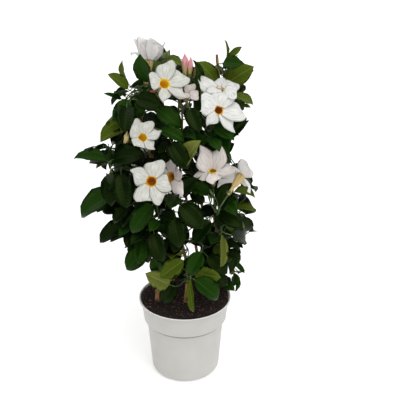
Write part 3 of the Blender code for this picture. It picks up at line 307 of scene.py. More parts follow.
OPENINGS = in_metres((
    (-63, 562, 8), (-19, 565, 6), (1, 535, 6), (14, 535, 6), (-63, 359, 9), (-71, 352, 6),
    (-11, 356, 9), (-45, 298, 9), (18, 312, 8), (17, 266, 10), (31, 376, 10), (47, 335, 10),
    (54, 376, 8), (23, 397, 8), (38, 633, 8),
))
print("the outline has", len(CROWN_OUTLINE), "points and", len(OPENINGS), "openings")

# %% [markdown]
# ## Places of the blossom
#
# The flowers stand singly on thin stalks and turn to the light. Ten flowers and three buds are where
# the photograph shows them. Four flowers and a bud are behind, so that the plant is finished all
# round.

# %% Flowers and buds of the plant
# Open flowers: the middle of the throat in mm, then yaw, which turns the face from the front towards
# +X, rise, which tips it up, roll, and the width and depth of the open cup in mm
FLOWER_ROWS = (
    ("left_top", (-61, 0, 658), 160, 74, 20, 50, 37),
    ("middle_top", (-30, -75, 632), 18, 30, 88, 78, 13),
    ("middle_top", (4, -30, 604), -6, 44, 40, 58, 12),
    ("right_top", (64, -65, 582), 10, 24, 93, 84, 14),
    ("right_top", (67, -40, 614), -10, 50, 60, 68, 12),
    ("left_upper", (-69, -90, 540), 26, 38, 100, 60, 17),
    ("left_middle", (-54, -122, 470), 0, 23, 80, 74, 10),
    ("left_middle", (-22, -86, 464), -38, 20, 70, 78, 12),
    ("right_middle", (54, -85, 475), -4, 54, 54, 76, 27),
    ("right_middle", (106, -56, 454), 148, 24, 80, 72, 12),
    ("back_left_top", (-50, 150, 560), -168, 36, 30, 78, 14),
    ("back_right_top", (60, 165, 520), 165, 24, 70, 80, 12),
    ("back_left_middle", (-85, 155, 420), -160, 22, 50, 80, 12),
    ("back_right_middle", (75, 160, 360), 152, 30, 10, 78, 14),
)
FLOWERS = [Flower("leaves_" + mass, in_metres(throat), *turns, width / 1000, cup / 1000)
           for mass, throat, *turns, width, cup in FLOWER_ROWS]
PETALS = 5
PETAL_OUTLINE = (0.74, 0.97, 1.00)

# Closed buds, each a spindle: its base and tip in mm and its radius in metres
BUD_ROWS = (
    ("middle_top", (4, -6, 628), (4, -10, 674), 0.0062),
    ("middle_top", (12, -10, 628), (15, -12, 668), 0.0046),
    ("left_upper", (-104, -60, 512), (-98, -66, 546), 0.0042),
    ("back_right_top", (20, 150, 560), (20, 166, 596), 0.0042),
)
BUDS = [Bud("leaves_" + mass, in_metres(base), in_metres(tip), radius)
        for mass, base, tip, radius in BUD_ROWS]
BUD_SIDES = 5
print(len(FLOWERS), "flowers, the first", FLOWERS[0].width * 1000, "mm wide, and", len(BUDS), "buds")

# %% [markdown]
# ## Skins for testing
#
# Each new piece is tested against all that has grown. Mesh objects would be slow for thousands of
# tests, so these skins are rough lists of points and faces: a twig of three sides and a leaf of
# three cuts.

# %% Small helpers for points and curves
def smooth(t):
    """Ease from 0 to 1 with level ends."""
    t = min(max(t, 0.0), 1.0)
    return t * t * (3.0 - 2.0 * t)


def mix(a, b, t):
    return a + (b - a) * t


def cubic(start, first, second, end, count):
    """Points along a cubic curve from its ends and two handles."""
    points = []
    for i in range(count):
        t = i / (count - 1)
        s = 1.0 - t
        points.append(start * s ** 3 + first * 3 * s * s * t + second * 3 * s * t * t + end * t ** 3)
    return points


def across(vector, axis):
    """The part of a vector that is square to an axis, at unit length."""
    return (vector - axis * vector.dot(axis)).normalized()


def wobble(rng, size):
    return Vector([rng.uniform(-size, size) for _ in range(3)])


def loft(rings):
    """Points and triangles of a closed skin over rings; a ring of one point closes it to a tip.

    Each four-sided gap is split along its shorter diagonal, so both sides of a thin wall split alike.
    """
    points = [point for ring in rings for point in ring]
    faces = []
    start = 0
    for ring, after in zip(rings, rings[1:]):
        n, m = len(ring), len(after)
        for i in range(max(n, m)):
            a, b = start + i % n, start + (i + 1) % n
            c, d = start + n + (i + 1) % m, start + n + i % m
            if a == b:
                faces.append((a, c, d))
            elif c == d:
                faces.append((a, b, c))
            elif (points[a] - points[c]).length <= (points[b] - points[d]).length:
                faces += [(a, b, c), (a, c, d)]
            else:
                faces += [(a, b, d), (b, c, d)]
        start += n
    first, last = len(rings[0]), len(rings[-1])
    faces += [(0, i + 1, i) for i in range(1, first - 1)]
    end = len(points) - last
    faces += [(end, end + i, end + i + 1) for i in range(1, last - 1)]
    return points, faces


def tube(path, radii, sides=3):
    """A tapering tube of a few sides along a path."""
    rings = []
    side = None
    for i, point in enumerate(path):
        ahead = (path[min(i + 1, len(path) - 1)] - path[max(i - 1, 0)]).normalized()
        if side is None:
            side = ahead.orthogonal().normalized()
        side = across(side, ahead)
        up = ahead.cross(side)
        turns = [2 * math.pi * k / sides for k in range(sides)]
        rings.append([point + (side * math.cos(a) + up * math.sin(a)) * radii[i] for a in turns])
    return loft(rings)


print("a tube of two rings has", len(tube([Vector(), Vector((0, 0, 1))], [0.1, 0.1])[1]), "triangles")

# %% [markdown]
# ## The stems of the solids
#
# A stem leaves the compost upright, flares at its foot and twines as it leans towards its top. Its
# test skin is a curve with a round bevel, as in the solids, because the first twigs are set close
# to it.

# %% Stems
def stem_path(stem, count=STEM_POINTS):
    """A stem's axis, upright at its foot and twining above."""
    foot = Vector((*stem.foot, POT_HEIGHT - SOIL_BELOW_RIM + GAP))
    top = Vector(stem.top)
    points = []
    for i in range(count):
        t = i / (count - 1)
        turn = stem.phase + 2 * math.pi * stem.turns * t
        sway = STEM_SWAY * smooth(t * 4) * (1.0 - 0.5 * smooth(t * 2 - 1))
        point = mix(foot, top, t)
        lean = smooth(t * 5) * t
        point.x = mix(foot.x, top.x, lean) + sway * math.cos(turn)
        point.y = mix(foot.y, top.y, lean) + sway * math.sin(turn)
        points.append(point)
    points[1].x, points[1].y = foot.x, foot.y
    return points


def stem_radii(stem, count=STEM_POINTS):
    """A stem's taper, with a flare over the last few centimetres above the soil."""
    radii = []
    for i in range(count):
        t = i / (count - 1)
        flare = 1.0 + (STEM_FLARE - 1.0) * (1.0 - smooth(t * 12))
        radii.append(mix(stem.foot_radius, stem.top_radius, t ** 0.8) * flare)
    return radii


def stem_skin(stem):
    """A stem as points and faces, from a curve with a round bevel and filled caps."""
    curve = bpy.data.curves.new(stem.name, "CURVE")
    curve.dimensions = "3D"
    curve.bevel_depth = 1.0
    curve.bevel_resolution = 1
    curve.use_fill_caps = True
    spline = curve.splines.new("POLY")
    path, radii = stem_path(stem), stem_radii(stem)
    spline.points.add(len(path) - 1)
    for place, point, radius in zip(spline.points, path, radii):
        place.co = (*point, 1.0)
        place.radius = radius
    guide = add_object(stem.name, curve)
    evaluated = guide.evaluated_get(bpy.context.evaluated_depsgraph_get())
    mesh = bpy.data.meshes.new_from_object(evaluated)
    bpy.data.objects.remove(guide)
    bpy.data.curves.remove(curve)
    form = bmesh.new()
    form.from_mesh(mesh)
    bpy.data.meshes.remove(mesh)
    bmesh.ops.remove_doubles(form, verts=form.verts, dist=0.00001)
    form.verts.index_update()
    points = [vert.co.copy() for vert in form.verts]
    faces = [[vert.index for vert in face.verts] for face in form.faces]
    form.free()
    return points, faces


print("the left stem is", round((stem_path(STEMS[0])[-1] - stem_path(STEMS[0])[0]).length, 3), "m tall")

# %% [markdown]
# ## The leaves of the solids
#
# The midrib of a leaf is an arc, so its two ends, its upper side and its bend are enough. The rough
# blade along it is a wedge, and the fine one further down keeps the same ends and bend.

# %% Leaves
def leaf_frame(leaf):
    """Start direction, upper side, side direction and arc length of a leaf's bowed midrib."""
    chord = leaf.tip - leaf.base
    up = across(leaf.normal, chord.normalized())
    half = leaf.bend / 2
    ahead = chord.normalized() * math.cos(half) + up * math.sin(half)
    normal = up * math.cos(half) - chord.normalized() * math.sin(half)
    length = chord.length * half / math.sin(half)
    return ahead, normal, normal.cross(ahead), length


def midrib(leaf, frame, u):
    """Place, direction and upper side along the midrib, u from 0 at the base to 1 at the tip."""
    ahead, normal, _, length = frame
    turn = leaf.bend * u
    reach = length / leaf.bend
    place = leaf.base + ahead * (reach * math.sin(turn)) - normal * (reach * (1 - math.cos(turn)))
    heading = ahead * math.cos(turn) - normal * math.sin(turn)
    upper = normal * math.cos(turn) + ahead * math.sin(turn)
    return place, heading, upper


def leaf_skin(leaf, swell=0.0, stalk=True):
    """A leaf as a bowed blade of three-cornered sections on its stalk."""
    frame = leaf_frame(leaf)
    side = frame[2]
    rings = [[leaf.root if stalk else leaf.base]]
    for u, share in LEAF_STATIONS:
        place, _, up = midrib(leaf, frame, u)
        half = leaf.width * share / 2 + swell
        lift = up * (half * LEAF_FOLD)
        keel = place - up * (LEAF_THICKNESS * min(1.0, 0.6 + u * 2) + swell)
        rings.append([place + side * half + lift, place - side * half + lift, keel])
    rings.append([midrib(leaf, frame, 1.0)[0]])
    return loft(rings)


print("a leaf is cut at", [u for u, _ in LEAF_STATIONS], "of its length")

# %% [markdown]
# ## The blossom of the solids
#
# A flower is a tube that widens to a throat and opens into five lobes. It is given by the place of
# its throat and the way it faces, which the fine flower keeps. A bud is a spindle.

# %% Flowers and buds
def flower_axes(flower):
    """Facing direction of a flower and the two directions of its face, turned by its roll."""
    yaw, rise = math.radians(flower.yaw), math.radians(flower.rise)
    face = Vector((math.sin(yaw) * math.cos(rise), -math.cos(yaw) * math.cos(rise), math.sin(rise)))
    right = Vector((math.cos(yaw), math.sin(yaw), 0))
    up = face.cross(right)
    roll = math.radians(flower.roll)
    return face, right * math.cos(roll) + up * math.sin(roll), up * math.cos(roll) - right * math.sin(roll)


def flower_skin(flower, swell=0.0):
    """A rough flower: a tube, a throat and five skewed petals."""
    face, first, second = flower_axes(flower)
    foot = Vector(flower.throat) - face * TUBE_LENGTH
    count = PETALS * len(PETAL_OUTLINE)

    def ring(height, radius, lobes):
        points = []
        for k in range(count):
            turn = 2 * math.pi * (k - 2) / count
            share = PETAL_OUTLINE[k % len(PETAL_OUTLINE)] if lobes else 1.0
            spoke = first * math.cos(turn) + second * math.sin(turn)
            points.append(foot + face * height + spoke * (radius * share))
        return points

    wall = PETAL_WALL / 2 + swell
    limb = TUBE_LENGTH + flower.cup
    radius = flower.width / 2
    throat = THROAT_RADIUS
    rings = [
        [foot - face * swell],
        ring(NECK_LENGTH, NECK_RADIUS + swell, False),
        ring(TUBE_LENGTH, throat + wall, False),
        ring(limb, radius + swell, True),
        ring(TUBE_LENGTH + wall, throat - wall, False),
        [foot + face * (FUNNEL_FLOOR - swell)],
    ]
    return loft(rings)


def bud_skin(bud, swell=0.0):
    """A rough bud: a spindle."""
    base, tip = Vector(bud.base), Vector(bud.tip)
    shares = (0.45, 0.9, 1.0, 0.5, 0.1)
    path = [mix(base, tip, i / (len(shares) - 1)) for i in range(len(shares))]
    return tube(path, [bud.radius * share + swell for share in shares], BUD_SIDES)


def bloom_skin(bloom, swell=0.0):
    return flower_skin(bloom, swell) if isinstance(bloom, Flower) else bud_skin(bloom, swell)


def bloom_seat(bloom):
    """The foot of a flower's tube or of a bud, and the way it points."""
    if isinstance(bloom, Flower):
        face = flower_axes(bloom)[0]
        return Vector(bloom.throat) - face * TUBE_LENGTH, face
    base = Vector(bloom.base)
    return base, (Vector(bloom.tip) - base).normalized()


print("the tube of the first flower starts at", [round(c, 3) for c in bloom_seat(FLOWERS[0])[0]])

# %% [markdown]
# ## The growth rule
#
# Real leaves that would cross are pushed aside as they unfold. A simulation of that would be slow
# and hard to repeat. So each twig or leaf is tried a few ways, and kept once it is clear of
# everything. One seeded generator makes all the choices, as in the solids.

# %% What has grown so far
class Crown:
    """All that has grown so far, each piece a little swollen to keep the next ones clear."""

    def __init__(self):
        self.pieces = []

    @staticmethod
    def box(points):
        low = [min(point[k] for point in points) for k in range(3)]
        high = [max(point[k] for point in points) for k in range(3)]
        return low, high

    def add(self, owner, kind, skin):
        self.pieces.append((owner, kind, self.box(skin[0]), BVHTree.FromPolygons(*skin)))

    def clear(self, skin, skip=lambda owner, kind: False):
        """True where the skin crosses no piece, apart from those that skip passes over."""
        low, high = self.box(skin[0])
        tree = None
        for owner, kind, (other_low, other_high), other in self.pieces:
            if skip(owner, kind):
                continue
            if any(low[k] > other_high[k] or high[k] < other_low[k] for k in range(3)):
                continue
            tree = tree or BVHTree.FromPolygons(*skin)
            if tree.overlap(other):
                return False
        return True


print("pieces stay", CLEARANCE * 1000, "mm clear of each other")

# %% [markdown]
# ## Inside the space, the outline and the view
#
# The outline of the crown, its gaps and its flowers are what the eye knows the plant by. A leaf
# could be moved by hand until none is covered. Three small tests do that for every leaf: it stays
# in its mass, inside the outline, and in front of no flower.

# %% Inside the space, the outline and the view
FACE_SHARE = 0.42  # of a flower's width, kept clear round its throat


def in_space(mass, points, share=1.0):
    """True where every point lies in the mass's own space, or a share of it."""
    centre = Vector(mass.centre)
    for point in points:
        offset = point - centre
        if sum((offset[k] / mass.reach[k]) ** 2 for k in range(3)) > share * share:
            return False
    return True


def seen_at(point):
    """Where the line of sight from the photograph's place through a point crosses the plane y = 0."""
    viewer = Vector(VIEWER)
    spot = viewer + (point - viewer) * (viewer.y / (viewer.y - point.y))
    return Vector((spot.x, spot.z))


def in_outline(spot):
    """True where a spot on the plane lies inside the crown's outline."""
    inside = False
    for (x0, z0), (x1, z1) in zip(CROWN_OUTLINE, CROWN_OUTLINE[1:] + CROWN_OUTLINE[:1]):
        if (z0 > spot.y) != (z1 > spot.y) and spot.x < x0 + (x1 - x0) * (spot.y - z0) / (z1 - z0):
            inside = not inside
    return inside


def bloom_spots():
    """The middle and the reach of each flower and bud of the front."""
    spots = []
    for bloom in FLOWERS + BUDS:
        if isinstance(bloom, Flower):
            middle, reach = Vector(bloom.throat), bloom.width * FACE_SHARE
        else:
            middle, reach = mix(Vector(bloom.base), Vector(bloom.tip), 0.6), bloom.radius * 2
        if middle.y < 0.05:
            spots.append((middle, reach))
    return spots


kept_in_view = bloom_spots()


def hides_bloom(points):
    """True where a point stands before a spot that is kept in view."""
    for middle, reach in kept_in_view:
        spot = seen_at(middle)
        if any(point.y < middle.y and (seen_at(point) - spot).length < reach for point in points):
            return True
    return False


def fits_photo(leaf, points):
    """True where a leaf stays inside the crown's outline, and hides no opening and no flower."""
    if not all(in_outline(seen_at(point)) for point in points) or hides_bloom(points):
        return False
    base, tip = seen_at(leaf.base), seen_at(leaf.tip)
    for x, z, radius in OPENINGS:
        spot = Vector((x, z))
        share = min(max((spot - base).dot(tip - base) / (tip - base).length_squared, 0.0), 1.0)
        if (base + (tip - base) * share - spot).length < radius + leaf.width * 0.35:
            return False
    return True


print(len(kept_in_view), "flowers and buds are kept in view")

# %% [markdown]
# ## Which way is up, and places on a path
#
# A leaf lifts its upper side to the light, and a shoot leaves its twig at some point of its length.
# Constraints could do both for one object, but here there are hundreds, so a few lines of vector
# sums serve them all.

# %% Which way is up, and places on a path
def outward(point):
    """Level direction from the crown's upright axis to a point."""
    direction = Vector((point.x, point.y, 0))
    return direction.normalized() if direction.length > 0.001 else Vector((0, -1.0, 0))


def upper_side(point, chord, rng, spread=0.35):
    """The upper side of a leaf: up and out of the crown, and in front towards the light."""
    front = smooth((0.06 - point.y) / 0.08)
    wish = outward(point) * mix(0.75, 0.25, front) + Vector((0.0, -0.6 * front, 0.75)) + wobble(rng, spread)
    return across(wish, chord.normalized())


def along(path, distance_from_end):
    """Place and direction on a path, a distance back from its end."""
    left = distance_from_end
    for i in range(len(path) - 1, 0, -1):
        step = path[i] - path[i - 1]
        if left <= step.length or i == 1:
            return path[i] - step.normalized() * min(left, step.length), step.normalized()
        left -= step.length


def path_length(path):
    return sum((b - a).length for a, b in zip(path, path[1:]))


def part_way(path, share):
    """Place and direction at a share of a path's length."""
    return along(path, path_length(path) * (1.0 - share))


def taper(first, last, count):
    return [mix(first, last, i / (count - 1)) for i in range(count)]


print("a taper of three steps:", taper(1.0, 0.5, 3))

# %% [markdown]
# ## The first twig of a mass
#
# A mass of foliage is one side branch of a woody stem. Its first twig is a curve from just outside
# the bark to the heart of the mass. It could be sunk into the stem, but the solids keep a hair's
# breadth apart.

# %% The first twig of a mass
def mass_stem(mass, limbs, crown, rng):
    """The first twig of a mass, from just clear of its limb to its heart."""
    path, radii, skin = limbs[mass.stem]
    at = min(range(len(path)), key=lambda i: abs(path[i].z - mass.height))
    centre = Vector(mass.centre)
    away = centre - path[at]
    away.z = 0.0
    limb = BVHTree.FromPolygons(*skin)
    end = mix(path[at], centre, HEART)
    sizes = taper(TWIG_RADIUS, SHOOT_RADIUS, STALK_POINTS)
    rise = Vector((0, 0, 0.006))
    for attempt in range(TRIES * 2):
        way = (away.normalized() + wobble(rng, 0.12 * attempt ** 0.5)).normalized()
        offset = radii[at] * 0.86 + GAP
        touching = True
        while touching:
            start = path[at] + way * offset
            points = cubic(start, start + way * 0.012, mix(start, end, 0.6) + rise, end, STALK_POINTS)
            thick = tube(points, [TWIG_RADIUS + GAP / 2] * STALK_POINTS)
            touching = bool(BVHTree.FromPolygons(*thick).overlap(limb))
            offset += GAP / 3
        swollen = tube(points, [size + CLEARANCE for size in sizes])
        if crown.clear(swollen, lambda owner, kind: owner in (mass.name, mass.stem)):
            crown.add(mass.name, "twig", swollen)
            return Twig(mass.name, "stem", points, sizes)
        end = end + wobble(rng, 0.006)
    return None


print("a first twig ends", HEART, "of the way to the middle of its mass")

# %% [markdown]
# ## A shoot and the leaf that closes it
#
# A shoot bends up out of its twig and ends in a leaf. The leaf is known first, so the shoot is a
# curve that is led to its foot. Scattering would be faster, but would not put the leaf where it
# belongs.

# %% A shoot and the leaf that closes it
def grow_shoot(mass, start, heading, shoot, crown, rng):
    """A shoot and the leaf that closes it, or None where nothing is clear."""
    for attempt in range(TRIES):
        loose = 0.003 * attempt ** 0.5
        base = Vector(shoot.base) + wobble(rng, loose)
        tip = Vector(shoot.tip) + wobble(rng, loose)
        chord = tip - base
        normal = upper_side(base, chord, rng)
        bend = LEAF_BEND * rng.uniform(0.7, 1.2)
        width = chord.length * LEAF_WIDTH * shoot.width * rng.uniform(0.92, 1.12)
        leaf = Leaf(mass.name, base, base, tip, normal, width, bend)
        ahead = leaf_frame(leaf)[0]
        end = base - ahead * PETIOLE
        span = (end - start).length
        lift = Vector((0, 0, 0.5)) + wobble(rng, 0.15 + 0.1 * attempt)
        first = start + (heading + lift) * (span * 0.33)
        second = end - (ahead + Vector((0, 0, 0.15))) * (span * 0.30)
        path = cubic(start, first, second, end, SHOOT_POINTS)
        radii = taper(SHOOT_RADIUS, TIP_RADIUS, SHOOT_POINTS)
        swollen = tube(path, [radius + CLEARANCE for radius in radii])
        if not crown.clear(swollen, lambda owner, kind: owner == mass.name and kind != "flower"):
            continue
        leaf = leaf._replace(root=along(path, 0.004)[0])
        whole = leaf_skin(leaf, CLEARANCE)
        if not in_space(mass, whole[0]):
            continue
        if shoot not in FRONT_SHOOTS and not fits_photo(leaf, whole[0] + path):
            continue
        if crown.clear(whole, lambda owner, kind: owner == mass.name and kind == "twig"):
            crown.add(mass.name, "twig", swollen)
            crown.add(mass.name, "leaf", whole)
            return Twig(mass.name, "shoot", path, radii, shoot.pairs), leaf
    return None


print("a shoot is tried", TRIES, "ways before it is given up")

# %% [markdown]
# ## Pairs of leaves
#
# Below its end a shoot carries leaves in opposite pairs, each a quarter turn from the last. An
# array would set them evenly, but real ones droop and give way to each other, so each is tried by
# itself.

# %% Pairs of leaves
FILL_SHARE = 0.9  # of the mass's space that the leaves of a pair keep to


def grow_leaf(mass, node, heading, side, length, crown, rng):
    """One leaf from a node of a shoot, or None where nothing is clear."""
    for attempt in range(TRIES):
        droop = Vector((0, 0, -0.25)) + wobble(rng, 0.15 + 0.12 * attempt)
        way = (side + heading * 0.35 + outward(node) * 0.45 + droop).normalized()
        size = length * (1.0 - 0.025 * attempt) * rng.uniform(0.9, 1.08)
        base = node + (way + side * 0.5).normalized() * PETIOLE
        tip = base + way * size
        normal = upper_side(base, way, rng, 0.3 + 0.05 * attempt)
        bend = LEAF_BEND * rng.uniform(0.6, 1.25)
        width = size * LEAF_WIDTH * rng.uniform(0.9, 1.1)
        leaf = Leaf(mass.name, node - side * GAP, base, tip, normal, width, bend)
        whole = leaf_skin(leaf, CLEARANCE)
        if not (in_space(mass, whole[0], FILL_SHARE) and fits_photo(leaf, whole[0])):
            continue
        if not crown.clear(whole, lambda owner, kind: owner == mass.name and kind == "twig"):
            continue
        if crown.clear(leaf_skin(leaf, CLEARANCE, stalk=False)):
            crown.add(mass.name, "leaf", whole)
            return leaf
    return None


def grow_pairs(mass, shoot, size, crown, rng):
    """Opposite leaves at even nodes down a shoot, each pair a quarter turn from the last."""
    leaves = []
    reach = path_length(shoot.path)
    spot = INTERNODE * size * 0.35
    turn = rng.uniform(0, math.pi)
    while spot < reach - PETIOLE:
        node, heading = along(shoot.path, spot)
        across_shoot = heading.orthogonal().normalized()
        beside = across_shoot * math.cos(turn) + heading.cross(across_shoot) * math.sin(turn)
        for side in (beside, -beside):
            length = LEAF_LENGTH * size * rng.uniform(0.78, 1.1)
            leaf = grow_leaf(mass, node, heading, side, length, crown, rng)
            if leaf:
                leaves.append(leaf)
        turn += math.pi / 2 + rng.uniform(-0.3, 0.3)
        spot += INTERNODE * size * rng.uniform(0.85, 1.15)
    return leaves


print("pairs stand about", INTERNODE * 1000, "mm apart")

# %% [markdown]
# ## Stalks of the blossom
#
# A flower or bud stands on a thin stalk of its own. It has to find its way between the leaves, so
# it is grown after the shoots, from a near twig into the foot of the tube.

# %% Stalks of the blossom
def grow_stalk(mass, bloom, twigs, crown, rng):
    """The stalk of a flower or bud, from a near twig of its mass into its foot."""
    base, face = bloom_seat(bloom)
    spots = []
    for twig in twigs:
        for share in (0.25, 0.5, 0.75, 0.95):
            spots.append(part_way(twig.path, share))
    spots.sort(key=lambda spot: (spot[0] - base).length)
    radii = taper(SHOOT_RADIUS * 0.8, NECK_RADIUS * 0.55, STALK_POINTS)
    for attempt in range(TRIES * 2):
        start, heading = spots[min(attempt // 2, len(spots) - 1)]
        span = (base - start).length
        first = start + (heading + wobble(rng, 0.2 + 0.08 * attempt)) * (span * 0.3)
        path = cubic(start, first, base - face * (span * 0.4), base + face * STALK_SUNK, STALK_POINTS)
        swollen = tube(path[:-1], [radius + CLEARANCE for radius in radii[:-1]])
        last = tube(path[-2:], [radius + CLEARANCE for radius in radii[-2:]])
        if not crown.clear(last, lambda owner, kind: owner == mass.name):
            continue
        if crown.clear(swollen, lambda owner, kind: owner == mass.name and kind != "flower"):
            crown.add(mass.name, "stalk", swollen)
            crown.add(mass.name, "stalk", last)
            return Twig(mass.name, "stalk", path, radii)
    return None


print("a stalk goes", STALK_SUNK * 1000, "mm into its flower")

# %% [markdown]
# ## Shoots of the back
#
# The photograph shows only the front, so nothing tells where the shoots of the back stand. They
# could be a mirror image of the front, but the eye would notice. Instead three fan out evenly in
# each mass, to the skin of its space.

# %% Shoots of the back
BACK_SHOOTS_PER_MASS = 3


def stretched(way, reach):
    return Vector([way[k] * reach[k] for k in range(3)])


def back_shoots(mass, rng):
    """Shoots of a mass at the back, out to the skin of its space."""
    shoots = []
    centre = Vector(mass.centre)
    out = outward(centre)
    beside = Vector((-out.y, out.x, 0))
    for k in range(BACK_SHOOTS_PER_MASS):
        turn = 2 * math.pi * (k + rng.uniform(-0.2, 0.2)) / BACK_SHOOTS_PER_MASS
        ring = beside * math.cos(turn) + Vector((0, 0, math.sin(turn)))
        way = (out * rng.uniform(0.5, 0.9) + ring).normalized()
        share = 0.93
        while share > 0.5 and not in_outline(seen_at(centre + stretched(way, mass.reach) * (share + 0.1))):
            share -= 0.05
        tip = centre + stretched(way, mass.reach) * share
        droop = (way * 0.8 + out * 0.4 - Vector((0, 0, 0.45))).normalized()
        shoots.append(Shoot(mass.name, tip - droop * LEAF_LENGTH * rng.uniform(0.85, 1.1), tip))
    return shoots


print(BACK_SHOOTS_PER_MASS, "shoots fan out in each mass of the back")

# %% [markdown]
# ## Shoots into empty places
#
# A plant fills its gaps, because a shoot grows where there is light. Searching the whole space
# would be slow. So some places are drawn in each mass, and a shoot grows to the one farthest from
# every leaf.

# %% Shoots into empty places
PLACES_TRIED = 24


def open_shoot(centres, size, rng):
    """A mass and a shoot of it towards the emptiest of some seeded places."""
    places = []
    for mass in MASSES:
        for _ in range(PLACES_TRIED):
            way = wobble(rng, 1.0)
            if way.length <= 1.0:
                spot = Vector(mass.centre) + stretched(way, mass.reach) * 0.9
                if in_outline(seen_at(spot)):
                    places.append((min((spot - other).length for other in centres), mass, spot))
    _, mass, tip = max(places, key=lambda place: place[0])
    droop = outward(tip) * 0.8 + (tip - Vector(mass.centre)).normalized() * 0.5 + wobble(rng, 0.4)
    droop.z -= 0.35
    length = LEAF_LENGTH * size * rng.uniform(0.8, 1.05)
    return mass, Shoot(mass.name, tip - droop.normalized() * length, tip)


def nearest_start(mass, spot, twigs):
    """Place and direction on a twig of the mass that passes nearest to a spot."""
    starts = []
    for twig in twigs:
        if twig.mass == mass.name:
            starts += [part_way(twig.path, share) for share in (0.35, 0.6, 0.85)]
    return min(starts, key=lambda start: (start[0] - spot).length)


def add_shoot(mass, shoot, size, twigs, leaves, crown, rng):
    """Grow a shoot and its leaf pairs from the nearest twig of its mass, and give the new leaves."""
    start, heading = nearest_start(mass, shoot.base, twigs)
    grown = grow_shoot(mass, start, heading, shoot, crown, rng)
    if not grown:
        return []
    found = [grown[1]] + grow_pairs(mass, grown[0], size, crown, rng)
    twigs.append(grown[0])
    leaves += found
    return found


print("a shoot looks at up to", PLACES_TRIED, "places in each mass")

# %% [markdown]
# ## The view in cells
#
# From in front the real crown is closed but for a few gaps. A render would show what is still open,
# but takes too long for each leaf. So the view is counted in small cells that leaves and flowers
# cover.

# %% The view in cells
VIEW_CELL = 0.006
CELLS_ACROSS = 60
CELLS_UP = 120


def cell_at(point):
    """The cell of the photograph's plane in which a point is seen."""
    spot = seen_at(point)
    return round(spot.x / VIEW_CELL), round(spot.y / VIEW_CELL)


def leaf_cells(leaf):
    """The cells of the plane that a leaf covers."""
    chord = leaf.tip - leaf.base
    side = across(leaf.normal, chord.normalized()).cross(chord.normalized()) * (leaf.width / 2)
    cells = set()
    for i in range(9):
        for v in (-0.8, -0.4, 0.0, 0.4, 0.8):
            cells.add(cell_at(leaf.base + chord * (i / 8) + side * (v * math.sin(math.pi * (i + 1) / 10))))
    return cells


def flower_cells(flower):
    """The cells of the plane that an open flower covers."""
    first, second = flower_axes(flower)[1:]
    cells = set()
    for i in range(6):
        for k in range(24):
            turn = 2 * math.pi * k / 24
            spoke = (first * math.cos(turn) + second * math.sin(turn)) * (flower.width * 0.09 * i)
            cells.add(cell_at(Vector(flower.throat) + spoke))
    return cells


def crown_cells():
    """The cells of the plane that the crown fills, its openings left out."""
    cells = []
    for i in range(round(min(x for x, _ in CROWN_OUTLINE) / VIEW_CELL), CELLS_ACROSS):
        for k in range(CELLS_UP):
            spot = Vector((i * VIEW_CELL, k * VIEW_CELL))
            shut = all((spot - Vector((x, z))).length > radius + VIEW_CELL / 2 for x, z, radius in OPENINGS)
            if shut and in_outline(spot):
                cells.append((i, k))
    return cells


print("the crown fills", len(crown_cells()), "cells of", VIEW_CELL * 1000, "mm in the photograph's view")

# %% [markdown]
# ## Shoots into bare cells
#
# The leaves of the outer crown overlap like tiles. Closing the view by hand would take many trials,
# so a shoot is aimed at a cell that is still bare, at a depth drawn by lot.

# %% Shoots into bare cells
DEPTH_SPREAD = 0.08


def fill_view(twigs, leaves, attempts, size, crown, rng, bloom_cells=flower_cells):
    """Shoots into what still shows bare in the view, at any depth in a mass."""
    shown = [leaf_cells(leaf) for leaf in leaves] + [bloom_cells(flower) for flower in FLOWERS]
    covered = set().union(*shown)
    wanted = crown_cells()
    viewer = Vector(VIEWER)
    for _ in range(attempts):
        bare = [cell for cell in wanted if cell not in covered]
        i, k = rng.choice(bare)
        sight = Vector((i * VIEW_CELL, 0.0, k * VIEW_CELL)) - viewer
        spot = viewer + sight * (1.0 + rng.uniform(-DEPTH_SPREAD, DEPTH_SPREAD))
        nearby = [mass for mass in MASSES if in_space(mass, [spot], 0.9)]
        if not nearby:
            continue
        mass = rng.choice(nearby)
        length = LEAF_LENGTH * size * rng.uniform(0.75, 1.05)
        way = (outward(spot) * 0.5 + Vector((0, -0.1, -0.35)) + wobble(rng, 0.8)).normalized()
        shoot = Shoot(mass.name, spot - way * (length / 2), spot + way * (length / 2))
        found = add_shoot(mass, shoot, size, twigs, leaves, crown, rng)
        covered = covered.union(*(leaf_cells(leaf) for leaf in found))


print("a filling shoot is up to", DEPTH_SPREAD, "of the sight before or behind the plane")

# %% [markdown]
# ## The order of growth
#
# Wood comes first, because nothing moves it. The blossom is next, since it has to stay where the
# photograph shows it. Twigs and leaves then take the room that is left.

# %% The order of growth
FILLING_SHOOTS = 20
VIEW_SHOOTS = 130


def set_limbs(crown):
    """Axis, radii and skin of each woody stem, which everything else keeps clear of."""
    limbs = {}
    for stem in STEMS:
        path, radii = stem_path(stem), stem_radii(stem)
        limbs[stem.name] = (path, radii, stem_skin(stem))
        crown.add(stem.name, "limb", tube(path, [radius + CLEARANCE for radius in radii], 8))
    return limbs


def set_blooms(crown):
    """The flowers and buds that are clear of the stems and of other masses."""
    blooms = []
    for bloom in FLOWERS + BUDS:
        swollen = bloom_skin(bloom, CLEARANCE)
        if crown.clear(swollen, lambda owner, kind: owner == bloom.mass):
            crown.add(bloom.mass, "flower", swollen)
            blooms.append(bloom)
    return blooms


